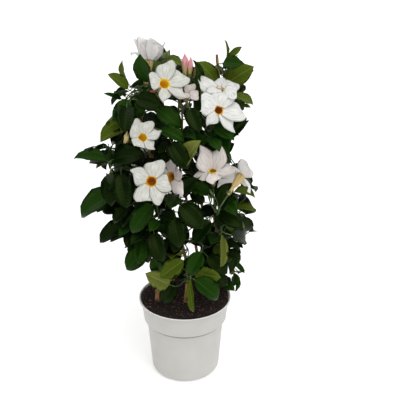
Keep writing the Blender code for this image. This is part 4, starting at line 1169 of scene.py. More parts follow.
def grow_named_shoots(stems, crown, rng):
    """The shoots of the tables, and those of the back, from the stem of each mass."""
    twigs, leaves = [], []
    for mass in MASSES:
        shoots = [shoot for shoot in FRONT_SHOOTS if shoot.mass == mass.name] or back_shoots(mass, rng)
        for k, shoot in enumerate(shoots):
            share = mix(0.45, 0.98, (k + 0.5) / len(shoots))
            start, heading = part_way(stems[mass.name].path, share)
            grown = grow_shoot(mass, start, heading, shoot, crown, rng)
            if grown:
                twigs.append(grown[0])
                leaves.append(grown[1])
    return twigs, leaves


def fill_crown(twigs, leaves, attempts, size, crown, rng):
    """Shoots with their leaf pairs, each into the emptiest place that is left."""
    centres = [mix(leaf.base, leaf.tip, 0.5) for leaf in leaves]
    centres += [Vector(flower.throat) for flower in FLOWERS]
    for _ in range(attempts):
        mass, shoot = open_shoot(centres, size, rng)
        found = add_shoot(mass, shoot, size, twigs, leaves, crown, rng)
        centres += [mix(piece.base, piece.tip, 0.5) for piece in [shoot] + found]


def grow(crown, rng):
    """The whole crown of the solids."""
    limbs = set_limbs(crown)
    placed = set_blooms(crown)
    stems = {mass.name: mass_stem(mass, limbs, crown, rng) for mass in MASSES}
    shoots, leaves = grow_named_shoots(stems, crown, rng)
    twigs = list(stems.values()) + shoots
    stalks, blooms = [], []
    for bloom in placed:
        own = [twig for twig in twigs if twig.mass == bloom.mass]
        stalk = grow_stalk(MASS_OF[bloom.mass], bloom, own, crown, rng)
        if stalk:
            stalks.append(stalk)
            blooms.append(bloom)
    for twig in list(twigs):
        leaves += grow_pairs(MASS_OF[twig.mass], twig, twig.pairs, crown, rng)
    fill_crown(twigs, leaves, FILLING_SHOOTS, 1.0, crown, rng)
    fill_view(twigs, leaves, VIEW_SHOOTS, 1.0, crown, rng)
    return twigs, stalks, leaves, blooms


print("shoots to fill what is open:", FILLING_SHOOTS, "all round and up to", VIEW_SHOOTS, "in the view")

# %% [markdown]
# ## Grow the plant
#
# The generator starts from the seed of the construction. The numbers that are printed have to be
# those of the solids, or the fine leaves would hang beside them.

# %% Grow the plant of the solids
rng = random.Random(SEED)
crown = Crown()
twigs, stalks, leaves, blooms = grow(crown, rng)
coarse_leaves = len(leaves)
print(len(twigs + stalks), "twigs,", len(leaves), "leaves and", len(blooms), "blooms, as in the solids")

# %% [markdown]
# ## Finer twigs
#
# The solids stop at the larger leaves. A real crown goes on to short twigs with smaller leaves,
# which make its heart dark. They grow on by the same rule: a few are listed, the others go into
# what is still bare in the view, and then all round.

# %% Grow the finer twigs
def heart_cells(flower):
    """The cells that the heart of a flower covers, since finer twigs show between its lobes."""
    reach = round(0.22 * flower.width / VIEW_CELL)
    middle = cell_at(Vector(flower.throat))
    steps = range(-reach, reach + 1)
    return {(middle[0] + i, middle[1] + k) for i in steps for k in steps}


# A leaf whose base is nearer than this to that of a listed shoot is the leaf that closes it
SAME_PLACE = 0.012
FINE_ROWS = {
    "middle": ((44, -50, 424, 11, -55, 426), (46, -50, 407, 9, -55, 418, 1.1)),
    "middle_top": ((-8, 22, 576, -42, 20, 578),),
    "middle_upper": ((-6, 20, 550, -38, 20, 556),),
}
fine_shoots = shoots_of(FINE_ROWS)
FRONT_SHOOTS += fine_shoots
for shoot in fine_shoots:
    start, heading = nearest_start(MASS_OF[shoot.mass], Vector(shoot.base), twigs)
    grown = grow_shoot(MASS_OF[shoot.mass], start, heading, shoot, crown, rng)
    if grown:
        twigs.append(grown[0])
        leaves.append(grown[1])
for leaf in leaves[:coarse_leaves]:
    listed = [shoot for shoot in FRONT_SHOOTS if shoot.mass == leaf.mass]
    if any((leaf.base - Vector(shoot.base)).length < SAME_PLACE for shoot in listed):
        kept_in_view += [(mix(leaf.base, leaf.tip, share), leaf.width * 0.4) for share in (0.3, 0.5, 0.7)]
for size, into_view, all_round in ((0.82, 260, 50), (0.62, 300, 70)):
    fill_view(twigs, leaves, into_view, size, crown, rng, heart_cells)
    fill_crown(twigs, leaves, all_round, size, crown, rng)
print("with the finer twigs:", len(twigs), "twigs and", len(leaves), "leaves")

# %% [markdown]
# ## Geometry Nodes and plain meshes
#
# A leaf, a twig or a crumb is one simple thing repeated, and Geometry Nodes is Blender's tool for
# that. An object with points or paths goes in, and what comes out becomes a plain mesh, so that no
# modifier is left on the finished piece.

# %% Helpers for trees and plain meshes
def new_tree(name, inputs):
    """A geometry tree with named inputs, and where they come out and its result goes in."""
    tree = bpy.data.node_groups.new(name, "GeometryNodeTree")
    tree.interface.new_socket("Geometry", in_out="INPUT", socket_type="NodeSocketGeometry")
    tree.interface.new_socket("Geometry", in_out="OUTPUT", socket_type="NodeSocketGeometry")
    for label, kind in inputs.items():
        tree.interface.new_socket(label, in_out="INPUT", socket_type="NodeSocket" + kind)
    return tree, tree.nodes.new("NodeGroupInput").outputs, tree.nodes.new("NodeGroupOutput").inputs


def grown_mesh(name, source, tree, values):
    """A plain mesh object: what the tree makes of a source mesh with these inputs."""
    carrier = add_object(name + "_source", source)
    modifier = carrier.modifiers.new(name, "NODES")
    modifier.node_group = tree
    for item in tree.interface.items_tree:
        if item.in_out == "INPUT" and item.name in values:
            modifier[item.identifier] = values[item.name]
    graph = bpy.context.evaluated_depsgraph_get()
    mesh = bpy.data.meshes.new_from_object(carrier.evaluated_get(graph))
    mesh.name = name
    bpy.data.objects.remove(carrier)
    return add_object(name, mesh)


def set_attribute(mesh, name, kind, domain, values, field="value"):
    """A named attribute of a mesh, filled from rows of values."""
    attribute = mesh.attributes.new(name, kind, domain)
    attribute.data.foreach_set(field, np.array(values, int if kind == "INT" else float).ravel())


def join_pieces(name, pieces):
    """One object from several, with their materials kept."""
    with bpy.context.temp_override(active_object=pieces[0], selected_editable_objects=pieces):
        bpy.ops.object.join()
    pieces[0].name = name
    pieces[0].data.name = name
    return pieces[0]


print("trees end in plain meshes")

# %% [markdown]
# ## Surfaces with a grain
#
# Petal, bark, compost and moulded plastic each show two close colours that drift into each other,
# and a relief that follows them. One function makes them all from a soft noise. It lies in the
# piece's own millimetres, drawn out for fibres, or in the UV map for the pleats of a petal.

# %% A grained material
def grained_material(name, colour, shade, roughness, grain, relief, depth, drawn=(1.0, 1.0, 1.0),
                     by_uv=False):
    """Two colours and a relief in one soft noise: its turns to a metre, and its height in metres."""
    material, tree, surface = new_material(name, roughness)
    add = partial(add_node, tree)
    spot = add("ShaderNodeUVMap", uv_map="UVMap") if by_uv else add("ShaderNodeTexCoord").outputs["Object"]
    place = add("ShaderNodeMapping", {"Vector": spot, "Scale": drawn})
    noise = add("ShaderNodeTexNoise", {"Vector": place, "Scale": grain, "Detail": 3.0})
    spread = add("ShaderNodeMapRange", {"Value": noise, "From Min": 0.35, "From Max": 0.65})
    tint = add("ShaderNodeMix", {"Factor": spread, 6: linear(shade), 7: linear(colour)}, data_type="RGBA")
    bump = add("ShaderNodeBump", {"Strength": relief, "Distance": depth, "Height": noise})
    tree.links.new(tint.outputs[2], surface["Base Color"])
    tree.links.new(bump.outputs["Normal"], surface["Normal"])
    return material


print("grain is given in turns of the noise to a metre")

# %% [markdown]
# ## Leaf materials
#
# A thick waxy cuticle makes the upper side of a leaf glossy, so it has a clear reflection over a
# dark green, while the underside is paler and dull. New leaves are yellow green and old ones dark
# green. The old green is taken down to nearly black as painted shade, and most leaves in the shade
# of the crown take it. Each age is a material of one plain colour, and the side veins are a relief
# that the leaf's UV map carries.

# %% Leaf materials
def leaf_material(name, colour, roughness, gloss, veins):
    """Waxed leaf tissue: a plain green with side veins as relief."""
    material, tree, surface = new_material(name, roughness)
    surface["Base Color"].default_value = linear(colour)
    surface["Specular IOR Level"].default_value = gloss
    surface["Specular Tint"].default_value = linear("#a9c46a")
    add = partial(add_node, tree)
    blade = add("ShaderNodeUVMap", uv_map="UVMap")
    parts = add("ShaderNodeSeparateXYZ", {"Vector": blade}).outputs
    aside = add("ShaderNodeMath", {0: parts["X"], 1: 0.5}, operation="SUBTRACT")
    apart = add("ShaderNodeMath", {0: aside}, operation="ABSOLUTE")
    slant = add("ShaderNodeMath", {0: apart, 1: -0.35, 2: parts["Y"]}, operation="MULTIPLY_ADD")
    turn = add("ShaderNodeMath", {0: slant, 1: 2 * math.pi * SIDE_VEINS}, operation="MULTIPLY")
    wave = add("ShaderNodeMath", {0: turn}, operation="SINE")
    ridge = add("ShaderNodeMath", {0: wave, 1: 1.0}, operation="ADD")
    sharp = add("ShaderNodeMath", {0: ridge, 1: 0.35}, operation="POWER")
    bump = add("ShaderNodeBump", {"Strength": veins, "Distance": 0.0004, "Height": sharp})
    tree.links.new(bump.outputs["Normal"], surface["Normal"])
    return material


# A leaf has about nine veins on each side of its midrib, some 8 mm apart
SIDE_VEINS = 9
# The old green is darker than age alone makes a leaf: its near-black is painted shade for the crown's heart
UPPER_COLOURS = {"old": "#051502", "grown": "#133206", "fresh": "#445413", "young": "#676f30"}
UNDER_COLOURS = {"old": "#14280a", "grown": "#263f13", "fresh": "#5a5f24", "young": "#747e3c"}
RIB_COLOURS = {"old": "#0e2307", "grown": "#1f400d", "fresh": "#5f6a28", "young": "#7e8845"}
upper_of, under_of, rib_of = {}, {}, {}
for age in UPPER_COLOURS:
    upper_of[age] = leaf_material("waxed_leaf_" + age, UPPER_COLOURS[age], 0.36, 0.24, 0.5)
    under_of[age] = leaf_material("leaf_underside_" + age, UNDER_COLOURS[age], 0.65, 0.12, 0.9)
    rib_of[age] = leaf_material("leaf_midrib_" + age, RIB_COLOURS[age], 0.5, 0.2, 0.0)
print("leaf ages:", ", ".join(upper_of))

# %% [markdown]
# ## Thin skins
#
# A leaf and a petal are thin blades with an outline, a bow and two sides. A flat card with an image
# would show its square edge, so each is a closed cushion: two sheets of a few dozen faces that meet
# along the rim. One function makes both, and each face remembers its part of the blade.

# %% A closed thin skin
def thin_mesh(name, rows, columns, place, part_of):
    """A closed skin of two sheets over rows and columns, with a UV map and a part number on each face."""
    form = bmesh.new()
    uv = form.loops.layers.uv.new("UVMap")
    part = form.faces.layers.int.new("part")
    verts = {}

    def corner(row, column, lower):
        u, v = rows[row], columns[column]
        sunk = lower and abs(v) < 1.0 and u < 1.0
        key = "tip" if u == 1.0 else (row, column, sunk)
        if key not in verts:
            verts[key] = form.verts.new(place(u, 0.0 if u == 1.0 else v, sunk))
        return verts[key], (0.5 + v / 2, u)

    def add_face(corners, number):
        spots = {}
        for vert, spot in corners:
            spots.setdefault(vert, spot)
        face = form.faces.new(list(spots))
        face[part] = number
        face.smooth = True
        for loop, spot in zip(face.loops, spots.values()):
            loop[uv].uv = spot

    for column in range(len(columns) - 1):
        for row in range(len(rows) - 1):
            for lower in (False, True):
                ring = [corner(row, column, lower), corner(row, column + 1, lower),
                        corner(row + 1, column + 1, lower), corner(row + 1, column, lower)]
                add_face(list(reversed(ring)) if lower else ring, part_of(row, column, lower))
        add_face([corner(0, column, True), corner(0, column + 1, True),
                  corner(0, column + 1, False), corner(0, column, False)], 1)
    mesh = bpy.data.meshes.new(name)
    form.to_mesh(mesh)
    form.free()
    return mesh


print("a thin skin has two sheets and one rim")

# %% [markdown]
# ## The leaf blade
#
# The outline is elliptic, with a drawn-out tip that curls down. The blade bows, folds along the
# midrib, and its margins wave. Eight blades of one unit are enough for the eye not to see a repeat,
# and each leaf of the plant scales one of them.

# %% Blades
BLADE_OUTLINE = {0.00: 0.06, 0.05: 0.40, 0.14: 0.80, 0.28: 1.05, 0.44: 1.12, 0.60: 1.06, 0.74: 0.89,
                 0.86: 0.60, 0.94: 0.27, 1.00: 0.00}
BLADE_COLUMNS = (-1.0, -0.55, -0.05, 0.05, 0.55, 1.0)
BLADE_FORMS = 8
BLADE_THICKNESS = 0.007
RIB_DEPTH = 0.010
TIP_CURL = 0.05


def blade_mesh(name, bend, fold, wave, twist):
    """A leaf blade of unit size with its midrib."""
    reach = 0.5 / math.sin(bend / 2)

    def place(u, v, sunk):
        half = BLADE_OUTLINE[u]
        turn = bend * (u - 0.5)
        bow = reach * (math.cos(turn) - math.cos(bend / 2))
        margin = wave * math.sin(2 * math.pi * (2.3 * u + 0.25 * v)) * v * v
        lift = fold * half * abs(v) ** 1.3 + margin + twist * v * half * u
        curl = TIP_CURL * max(0.0, (u - 0.8) / 0.2) ** 2
        depth = BLADE_THICKNESS + (RIB_DEPTH if abs(v) < 0.1 else 0.0) * (1.0 - u)
        height = bow + lift - curl - (depth if sunk else 0.0)
        return half * v * 0.5, reach * (math.sin(turn) + math.sin(bend / 2)), height

    def part_of(row, column, lower):
        return 2 if column == 2 and not lower else int(lower)

    return thin_mesh(name, list(BLADE_OUTLINE), BLADE_COLUMNS, place, part_of)


blade_rng = random.Random(3)
blades = bpy.data.collections.new("blades")
blade_bends = []
for k in range(BLADE_FORMS):
    bend = mix(0.30, 0.9, k / (BLADE_FORMS - 1))
    blade_bends.append(bend)
    shape = blade_mesh(f"blade_{k}", bend, blade_rng.uniform(0.08, 0.22), blade_rng.uniform(0.008, 0.022),
                       blade_rng.uniform(-0.10, 0.10))
    blades.objects.link(bpy.data.objects.new(f"blade_{k}", shape))

# %% [markdown]
# ## Blades on points
#
# Each leaf or lobe of the plant becomes one point that knows its turn, its size and which form it
# takes. One tree puts a blade on each point, realizes the instances, because the export drops them,
# and sets three materials by the part of each face.

# %% The tree that sets blades on points
blade_tree, given, result = new_tree("blades on points", {
    "Forms": "Collection", "Upper side": "Material", "Underside": "Material", "Middle": "Material"})
add = partial(add_node, blade_tree)
forms = add("GeometryNodeCollectionInfo",
            {"Collection": given["Forms"], "Separate Children": True, "Reset Children": True})
which = add("GeometryNodeInputNamedAttribute", {"Name": "form"}, data_type="INT")
turned_by = add("GeometryNodeInputNamedAttribute", {"Name": "turn"}, data_type="QUATERNION")
sized = add("GeometryNodeInputNamedAttribute", {"Name": "size"}, data_type="FLOAT_VECTOR")
flow = add("GeometryNodeInstanceOnPoints",
           {"Points": given["Geometry"], "Instance": forms, "Pick Instance": True, "Instance Index": which,
            "Rotation": turned_by, "Scale": sized})
flow = add("GeometryNodeRealizeInstances", {"Geometry": flow})
part_number = add("GeometryNodeInputNamedAttribute", {"Name": "part"}, data_type="INT")
for number, label in enumerate(("Upper side", "Underside", "Middle")):
    chosen = add("FunctionNodeCompare", {2: part_number, 3: number}, data_type="INT", operation="EQUAL")
    flow = add("GeometryNodeSetMaterial", {"Geometry": flow, "Selection": chosen, "Material": given[label]})
blade_tree.links.new(flow.outputs[0], result["Geometry"])


def point_mesh(name, rows):
    """Points for the tree, from rows of place, the three axes of the blade, its size and its form."""
    mesh = bpy.data.meshes.new(name)
    mesh.from_pydata([tuple(row[0]) for row in rows], [], [])
    set_attribute(mesh, "turn", "QUATERNION", "POINT",
                  [Matrix(row[1]).transposed().to_quaternion() for row in rows])
    set_attribute(mesh, "size", "FLOAT_VECTOR", "POINT", [row[2] for row in rows], "vector")
    set_attribute(mesh, "form", "INT", "POINT", [row[3] for row in rows])
    return mesh


print("the blade tree has", len(blade_tree.nodes), "nodes")

# %% [markdown]
# ## How old each leaf is
#
# Age goes by shoot. Where the photograph shows a leaf's colour, it is listed, in the order of the
# shoots of a mass, and that colour holds the leaf's light or shade as well as its age. All others
# draw it by lot from a seeded generator. The finer leaves lie in the shade, and most of them take
# the old green, whose near-black is painted shade.

# %% Deal out the ages
# By mass: the ages of its listed shoots in their order, where "lot" leaves one to the draw
LIGHT_SHOOTS = {
    "left_top": "fresh fresh grown grown", "middle_top": "fresh fresh grown",
    "right_top": "fresh fresh fresh fresh fresh", "left_upper": "grown fresh old fresh",
    "middle_upper": "grown grown old young old", "left_middle": "grown old old grown",
    "right_middle": "old fresh old fresh", "left_low": "old old grown old old",
    "middle_low": "old lot fresh", "right_low": "young", "foot": "young fresh grown old old",
}
AGE_SHARES = {"old": 0.48, "grown": 0.34, "fresh": 0.15, "young": 0.03}
# Leaves above this height stand in full light and are never given the old green, whose near-black is painted
# shade
TOP_BEGINS = 0.595
TOP_SHARES = {"grown": 0.4, "fresh": 0.6}


def leaf_ages(leaves, rng):
    """The age of each leaf: given in the list for the ends of the listed shoots, and by lot for the rest."""
    ages = []
    for leaf in leaves:
        listed = [shoot for shoot in FRONT_SHOOTS if shoot.mass == leaf.mass]
        gaps = [(leaf.base - Vector(shoot.base)).length for shoot in listed] or [1.0]
        nearest = gaps.index(min(gaps))
        by_hand = LIGHT_SHOOTS.get(leaf.mass.removeprefix("leaves_"), "").split()
        age = by_hand[nearest] if min(gaps) < SAME_PLACE and nearest < len(by_hand) else "lot"
        if age == "lot":
            shares = TOP_SHARES if leaf.tip.z > TOP_BEGINS else AGE_SHARES
            age = rng.choices(list(shares), list(shares.values()))[0]
        ages.append(age)
    return ages


ages = leaf_ages(leaves[:coarse_leaves], random.Random(11))
for k, leaf in enumerate(leaves[coarse_leaves:]):
    # Most finer leaves take the old green as painted shade, since they lie in the crown's heart
    ages.append("grown" if k % 3 == 0 or leaf.tip.z > TOP_BEGINS else "old")
print({age: ages.count(age) for age in AGE_SHARES})

# %% [markdown]
# ## Set the leaves
#
# Hundreds of separate leaves are slow to handle, and one piece of them all would be too large. So
# they are joined in three zones: high, low and back. Within a zone the tree runs once for each age,
# with the three materials of that age.

# %% Make the leaves
def zone_of(mass):
    """High, low or back."""
    if "back" in mass.name:
        return "back"
    return "high" if mass.name.endswith(("top", "upper")) else "low"


ZONES = {zone: [mass.name for mass in MASSES if zone_of(mass) == zone] for zone in ("high", "low", "back")}


def leaf_row(leaf):
    """Place, axes, size and form of the blade of one leaf."""
    chord = leaf.tip - leaf.base
    ahead = chord.normalized()
    up = across(leaf.normal, ahead)
    form = min(range(BLADE_FORMS), key=lambda k: abs(blade_bends[k] - leaf.bend))
    return leaf.base, (ahead.cross(up), ahead, up), (leaf.width, chord.length, chord.length), form


leaf_pieces = {}
for zone, names in ZONES.items():
    parts = []
    for age in AGE_SHARES:
        own = [leaf for leaf, its_age in zip(leaves, ages) if leaf.mass in names and its_age == age]
        values = {"Forms": blades, "Upper side": upper_of[age], "Underside": under_of[age],
                  "Middle": rib_of[age]}
        rows = [leaf_row(leaf) for leaf in own]
        parts.append(grown_mesh(f"{zone}_{age}", point_mesh(age, rows), blade_tree, values))
    leaf_pieces[zone] = join_pieces("leaves_" + zone, parts)
    print(zone, "leaves:", len(leaf_pieces[zone].data.polygons), "faces")

# %% [markdown]
# ## Bark and green shoots
#
# A woody stem has a brown, dull bark of fibres, and shoots and leaf stalks are green and nearly
# smooth. All three are one noise that is drawn out along the height, so that it reads as fibres.

# %% Wood materials
FIBRES = (1.0, 1.0, 0.18)
# Fibres of the bark are 1.6 mm apart. Those of green shoots are too fine to show, and drawn at 3.3 mm
bark = grained_material("fibrous_bark", "#b98a58", "#5a3a20", 0.85, 620.0, 0.8, 0.0006, FIBRES)
shoot_green = grained_material("green_shoot", "#445c22", "#233a12", 0.55, 300.0, 0.2, 0.0006, FIBRES)
stalk_green = grained_material("leaf_stalk", "#546b2a", "#2f4a18", 0.5, 300.0, 0.1, 0.0006, FIBRES)
print("wood materials:", bark.name, shoot_green.name, stalk_green.name)

# %% [markdown]
# ## Wood along its paths
#
# A twig is round and tapers, and bark cracks along the stem. A bevelled curve could do the first
# but not the second. So the tree makes a smooth curve of each chain of points, sweeps a round
# profile at the radius that each point carries, and pushes the skin in and out by a noise.

# %% The tree that sweeps wood along paths
wood_tree, given, result = new_tree("wood along its paths", {
    "Sides": "Int", "Steps": "Int", "Relief": "Float", "Grain": "Float", "Material": "Material"})
add = partial(add_node, wood_tree)
flow = add("GeometryNodeMeshToCurve", {"Mesh": given["Geometry"]})
flow = add("GeometryNodeCurveSplineType", {"Curve": flow}, spline_type="CATMULL_ROM")
flow = add("GeometryNodeSetSplineResolution", {"Geometry": flow, "Resolution": given["Steps"]})
thick = add("GeometryNodeInputNamedAttribute", {"Name": "thick"}, data_type="FLOAT")
profile = add("GeometryNodeCurvePrimitiveCircle", {"Resolution": given["Sides"], "Radius": 1.0})
swept = add("GeometryNodeCurveToMesh",
            {"Curve": flow, "Profile Curve": profile, "Scale": thick, "Fill Caps": True})
where = add("GeometryNodeInputPosition")
drawn = add("ShaderNodeVectorMath", {0: where, 1: (1.0, 1.0, 0.25)}, operation="MULTIPLY")
rough = add("ShaderNodeTexNoise", {"Vector": drawn, "Scale": given["Grain"], "Detail": 3.0})
even = add("ShaderNodeMath", {0: rough, 1: 0.5}, operation="SUBTRACT")
depth = add("ShaderNodeMath", {0: even, 1: given["Relief"]}, operation="MULTIPLY")
facing = add("GeometryNodeInputNormal")
push = add("ShaderNodeVectorMath", {0: facing, "Scale": depth}, operation="SCALE")
flow = add("GeometryNodeSetPosition", {"Geometry": swept, "Offset": push})
flow = add("GeometryNodeSetShadeSmooth", {"Geometry": flow, "Shade Smooth": True})
flow = add("GeometryNodeRealizeInstances", {"Geometry": flow})
flow = add("GeometryNodeSetMaterial", {"Geometry": flow, "Material": given["Material"]})
wood_tree.links.new(flow.outputs[0], result["Geometry"])
print("the wood tree has", len(wood_tree.nodes), "nodes")

# %% [markdown]
# ## Twigs and leaf stalks
#
# A leaf stalk starts inside its twig and ends under the foot of its blade, and a flower stalk ends
# inside its tube, so that no gap shows. Small buds that the solids leave out have stalks from the
# nearest twig. All the twigs are one piece, and all the leaf stalks another.

# %% Chains of points for the tree
def path_mesh(name, paths):
    """Chains of points with the radius at each, from (points, radii) pairs."""
    points, edges, radii = [], [], []
    for path, sizes in paths:
        first = len(points)
        points += [tuple(point) for point in path]
        edges += [(first + i, first + i + 1) for i in range(len(path) - 1)]
        radii += list(sizes)
    mesh = bpy.data.meshes.new(name)
    mesh.from_pydata(points, edges, [])
    set_attribute(mesh, "thick", "FLOAT", "POINT", radii)
    return mesh


def petiole_path(leaf):
    """A leaf stalk, from inside its twig to under the foot of the blade."""
    ahead = leaf_frame(leaf)[0]
    span = (leaf.base - leaf.root).length
    inside = leaf.base + ahead * 0.004 - across(leaf.normal, ahead) * 0.0004
    bow = cubic(leaf.root, mix(leaf.root, leaf.base, 0.4), leaf.base - ahead * span * 0.3, leaf.base, 4)
    return bow + [inside], (0.0011, 0.0009, 0.0008, 0.0009, 0.0006)


def bud_stalk(bud):
    """A thin stalk from the nearest twig of the mass to under a small bud."""
    foot, ahead = bloom_seat(bud)
    start, heading = nearest_start(MASS_OF[bud.mass], foot, twigs)
    span = (foot - start).length
    path = cubic(start, start + heading * span * 0.3, foot - ahead * span * 0.4, foot + ahead * 0.002, 6)
    return path, (0.0009,) * 6


# Small buds and a withered calyx that the solids leave out, in such rows, each with its tissue
SMALL_BUD_ROWS = (
    ("middle_top", (20, -10, 626), (27, -10, 658), 0.003, "bud_brown"),
    ("middle_top", (24, -12, 621), (33, -12, 643), 0.0028, "bud_green"),
    ("middle_top", (-29, -5, 655), (-25, -5, 676), 0.0034, "bud_green"),
    ("left_top", (-60, -66, 612), (-44, -66, 619), 0.0028, "withered"),
    ("right_middle", (49, -80, 414), (46, -80, 430), 0.0018, "bud_green"),
    ("right_middle", (56, -80, 426), (48, -80, 436), 0.0016, "bud_green"),
)
SMALL_BUDS = [(Bud("leaves_" + mass, in_metres(base), in_metres(tip), radius), coat)
              for mass, base, tip, radius, coat in SMALL_BUD_ROWS]
twig_paths = [(twig.path, twig.radii) for twig in twigs + stalks]
twig_paths += [bud_stalk(bud) for bud, _ in SMALL_BUDS]
petiole_paths = [petiole_path(leaf) for leaf in leaves]
values = {"Sides": 7, "Steps": 4, "Relief": 0.0002, "Grain": 300.0, "Material": shoot_green}
twig_piece = grown_mesh("twigs", path_mesh("twig_paths", twig_paths), wood_tree, values)
values = {"Sides": 5, "Steps": 2, "Relief": 0.0, "Grain": 300.0, "Material": stalk_green}
petiole_piece = grown_mesh("leaf_stalks", path_mesh("petiole_paths", petiole_paths), wood_tree, values)
for piece in (twig_piece, petiole_piece):
    print(piece.name, "have", len(piece.data.polygons), "faces")

# %% [markdown]
# ## Woody stems
#
# The stems follow the path of the solids with many more points. Every few centimetres an old leaf
# node leaves a low swelling. Modelling each by hand would look no different, so a bell curve adds
# it to the radius.

# %% Make the stems
STEM_DETAIL = 150
NODE_GAP = 0.062
NODE_SWELL = 0.22
NODE_LENGTH = 0.0045
# The solid stems stand for bark and all, and these carry their bark outside this share. Its cracks are
# 2.4 mm apart and up to 0.6 mm deep
SLIMMER = 0.86


def swollen_radii(path, radii):
    """Radii of a stem with a low swelling at each old leaf node."""
    sizes, run = [], 0.0
    for i, radius in enumerate(radii):
        if i:
            run += (path[i] - path[i - 1]).length
        off = (run + NODE_GAP / 2) % NODE_GAP - NODE_GAP / 2
        sizes.append(radius * (1.0 + NODE_SWELL * math.exp(-(off / NODE_LENGTH) ** 2)))
    return sizes


stem_pieces = {}
for stem in STEMS:
    path = stem_path(stem, STEM_DETAIL)
    radii = [SLIMMER * radius for radius in swollen_radii(path, stem_radii(stem, STEM_DETAIL))]
    values = {"Sides": 18, "Steps": 1, "Relief": 0.0012, "Grain": 420.0, "Material": bark}
    piece = grown_mesh("bark_" + stem.name, path_mesh(stem.name, [(path, radii)]), wood_tree, values)
    stem_pieces[stem.name] = piece
print("one stem has", len(stem_pieces["stem_left"].data.polygons), "faces")

# %% [markdown]
# ## Petals
#
# The tissue of a petal is thin, white and matt, with faint grey shading along fine pleats, and it
# warms to yellow and orange in the throat. A colour ramp along the lobe would do, but rings of
# plain materials from the throat outwards are simpler to match to the photograph.

# %% Petal materials
PLEATS = (1.0, 0.12, 1.0)
PLEATS_ACROSS = 22.0  # over the width of a lobe, so 1 to 2 mm each, as on the real petal
TISSUES = {
    "petal_white": ("#e3e3df", "#c4c5be"),
    # painted shade: a greyer copy of the white petal, for flowers that stand in the shade of others
    "petal_milky": ("#cfcfc7", "#acada2"),
    # painted light: the underside is a lighter white than the upper side, to offset the shade it lies in
    "petal_back": ("#efecea", "#dcd8d6"),
    "petal_blush": ("#dcd4cf", "#bfb5af"),
    "throat_yellow": ("#efd03a", "#deb626"),
    "throat_amber": ("#dba428", "#bd8416"),
    "throat_gold": ("#efca34", "#dfac24"),
    "throat_deep": ("#d09028", "#b07016"),
    "tube_ochre": ("#cdb780", "#a08545"),
    "bud_pink": ("#e3a7a8", "#c8787c"),
    "bud_cream": ("#d9c98e", "#b09a50"),
    "bud_brown": ("#8d6a48", "#5c452f"),
    "bud_green": ("#5f7234", "#3c4f20"),
    "withered": ("#b0683a", "#7f4522"),
    "sepal_green": ("#5d7a34", "#43602a"),
}
tissue = {}
for name, (colour, shade) in TISSUES.items():
    tissue[name] = grained_material(name, colour, shade, 0.6, PLEATS_ACROSS, 0.5, 0.0008, PLEATS, by_uv=True)
print("petal tissues:", ", ".join(tissue))

# %% [markdown]
# ## The shape of a lobe
#
# Five lobes overlap like the vanes of a pinwheel. Each widens from the throat, leans to one side
# and ends blunt or in a point, its rim ruffles, and an old one droops. Those of a half-open flower
# stand up. Each of the four kinds has two ruffles, and all are one unit long and wide.

# %% Lobes
LOBE_ROWS = (0.0, 0.04, 0.16, 0.30, 0.42, 0.54, 0.65, 0.75, 0.84, 0.91, 0.965, 1.0)
LOBE_COLUMNS = tuple(-1.0 + 0.2 * k for k in range(11))
LOBE_WALL = 0.016
LOBE_KINDS = {"blunt": (0.0, 0.10, 3.2), "pointed": (0.85, 0.16, 3.2), "drooping": (0.6, 1.1, 3.2),
              "cupped": (0.0, 0.12, 9.0)}
# Width at the foot as a share of the greatest width, wide enough for the lobes to overlap
LOBE_BASE = 0.44
# How far the corners of the foot reach back round the throat
FOOT_ARC = 0.07
SKEW = 0.10
CORNER = 0.15
RUFFLE = 0.05
PINWHEEL = 0.09


def lobe_mesh(name, sharp, droop, square, phase):
    """A lobe of unit size: sharp draws its end to a point, droop bends it back, square keeps it broad."""

    def place(u, v, sunk):
        t = max(0.0, (u - 0.5) / 0.5)
        end = mix(math.sqrt(1.0 - t ** square), 1.0 - t ** 1.4, sharp)
        half = 0.5 * mix(LOBE_BASE, 1.0, 1.0 - (1.0 - min(1.0, u / 0.42)) ** 1.6) * end
        height = PINWHEEL * v * (0.25 + 0.75 * smooth(u * 3)) * (1.0 - 0.5 * u)
        height -= droop * max(0.0, u - 0.3) ** 2
        height -= 0.10 * v * v * smooth(u * 2) * (1.0 - u)
        height += RUFFLE * u * u * (0.3 + abs(v)) * math.sin(4.0 * v + 5.0 * u + phase)
        along_lobe = u * (1.0 + CORNER * v * u) - 0.12 * droop * max(0.0, u - 0.4) ** 2
        along_lobe -= FOOT_ARC * v * v * (1.0 - smooth(u * 4))
        return half * v + SKEW * u * u, along_lobe, height - (LOBE_WALL if sunk else 0.0)

    def part_of(row, column, lower):
        return 2 if row == 0 and not lower else int(lower)

    return thin_mesh(name, LOBE_ROWS, LOBE_COLUMNS, place, part_of)


lobes = bpy.data.collections.new("lobes")
for number, (sharp, droop, square) in enumerate(LOBE_KINDS.values()):
    for ruffle in (0, 1):
        name = f"lobe_{number}_{ruffle}"
        shape = lobe_mesh(name, sharp, droop, square, 2.2 * ruffle + number)
        lobes.objects.link(bpy.data.objects.new(name, shape))

# %% [markdown]
# ## Turned skins
#
# The tube of a flower, a furled bud and the pot are rings of points, one above the other. A Screw
# modifier could turn a profile, but a bud is wound and a tube bends. So one function joins any
# rings.

# %% Rings of points
# Radius of the small ring that closes a turned skin on its axis
TIP_RING = 0.0002


def turned_rings(profile, sides):
    """Round rings about +Z from rows of (radius, height)."""
    turns = [2 * math.pi * k / sides for k in range(sides)]
    return [[(radius * math.cos(turn), radius * math.sin(turn), height) for turn in turns]
            for radius, height in profile]


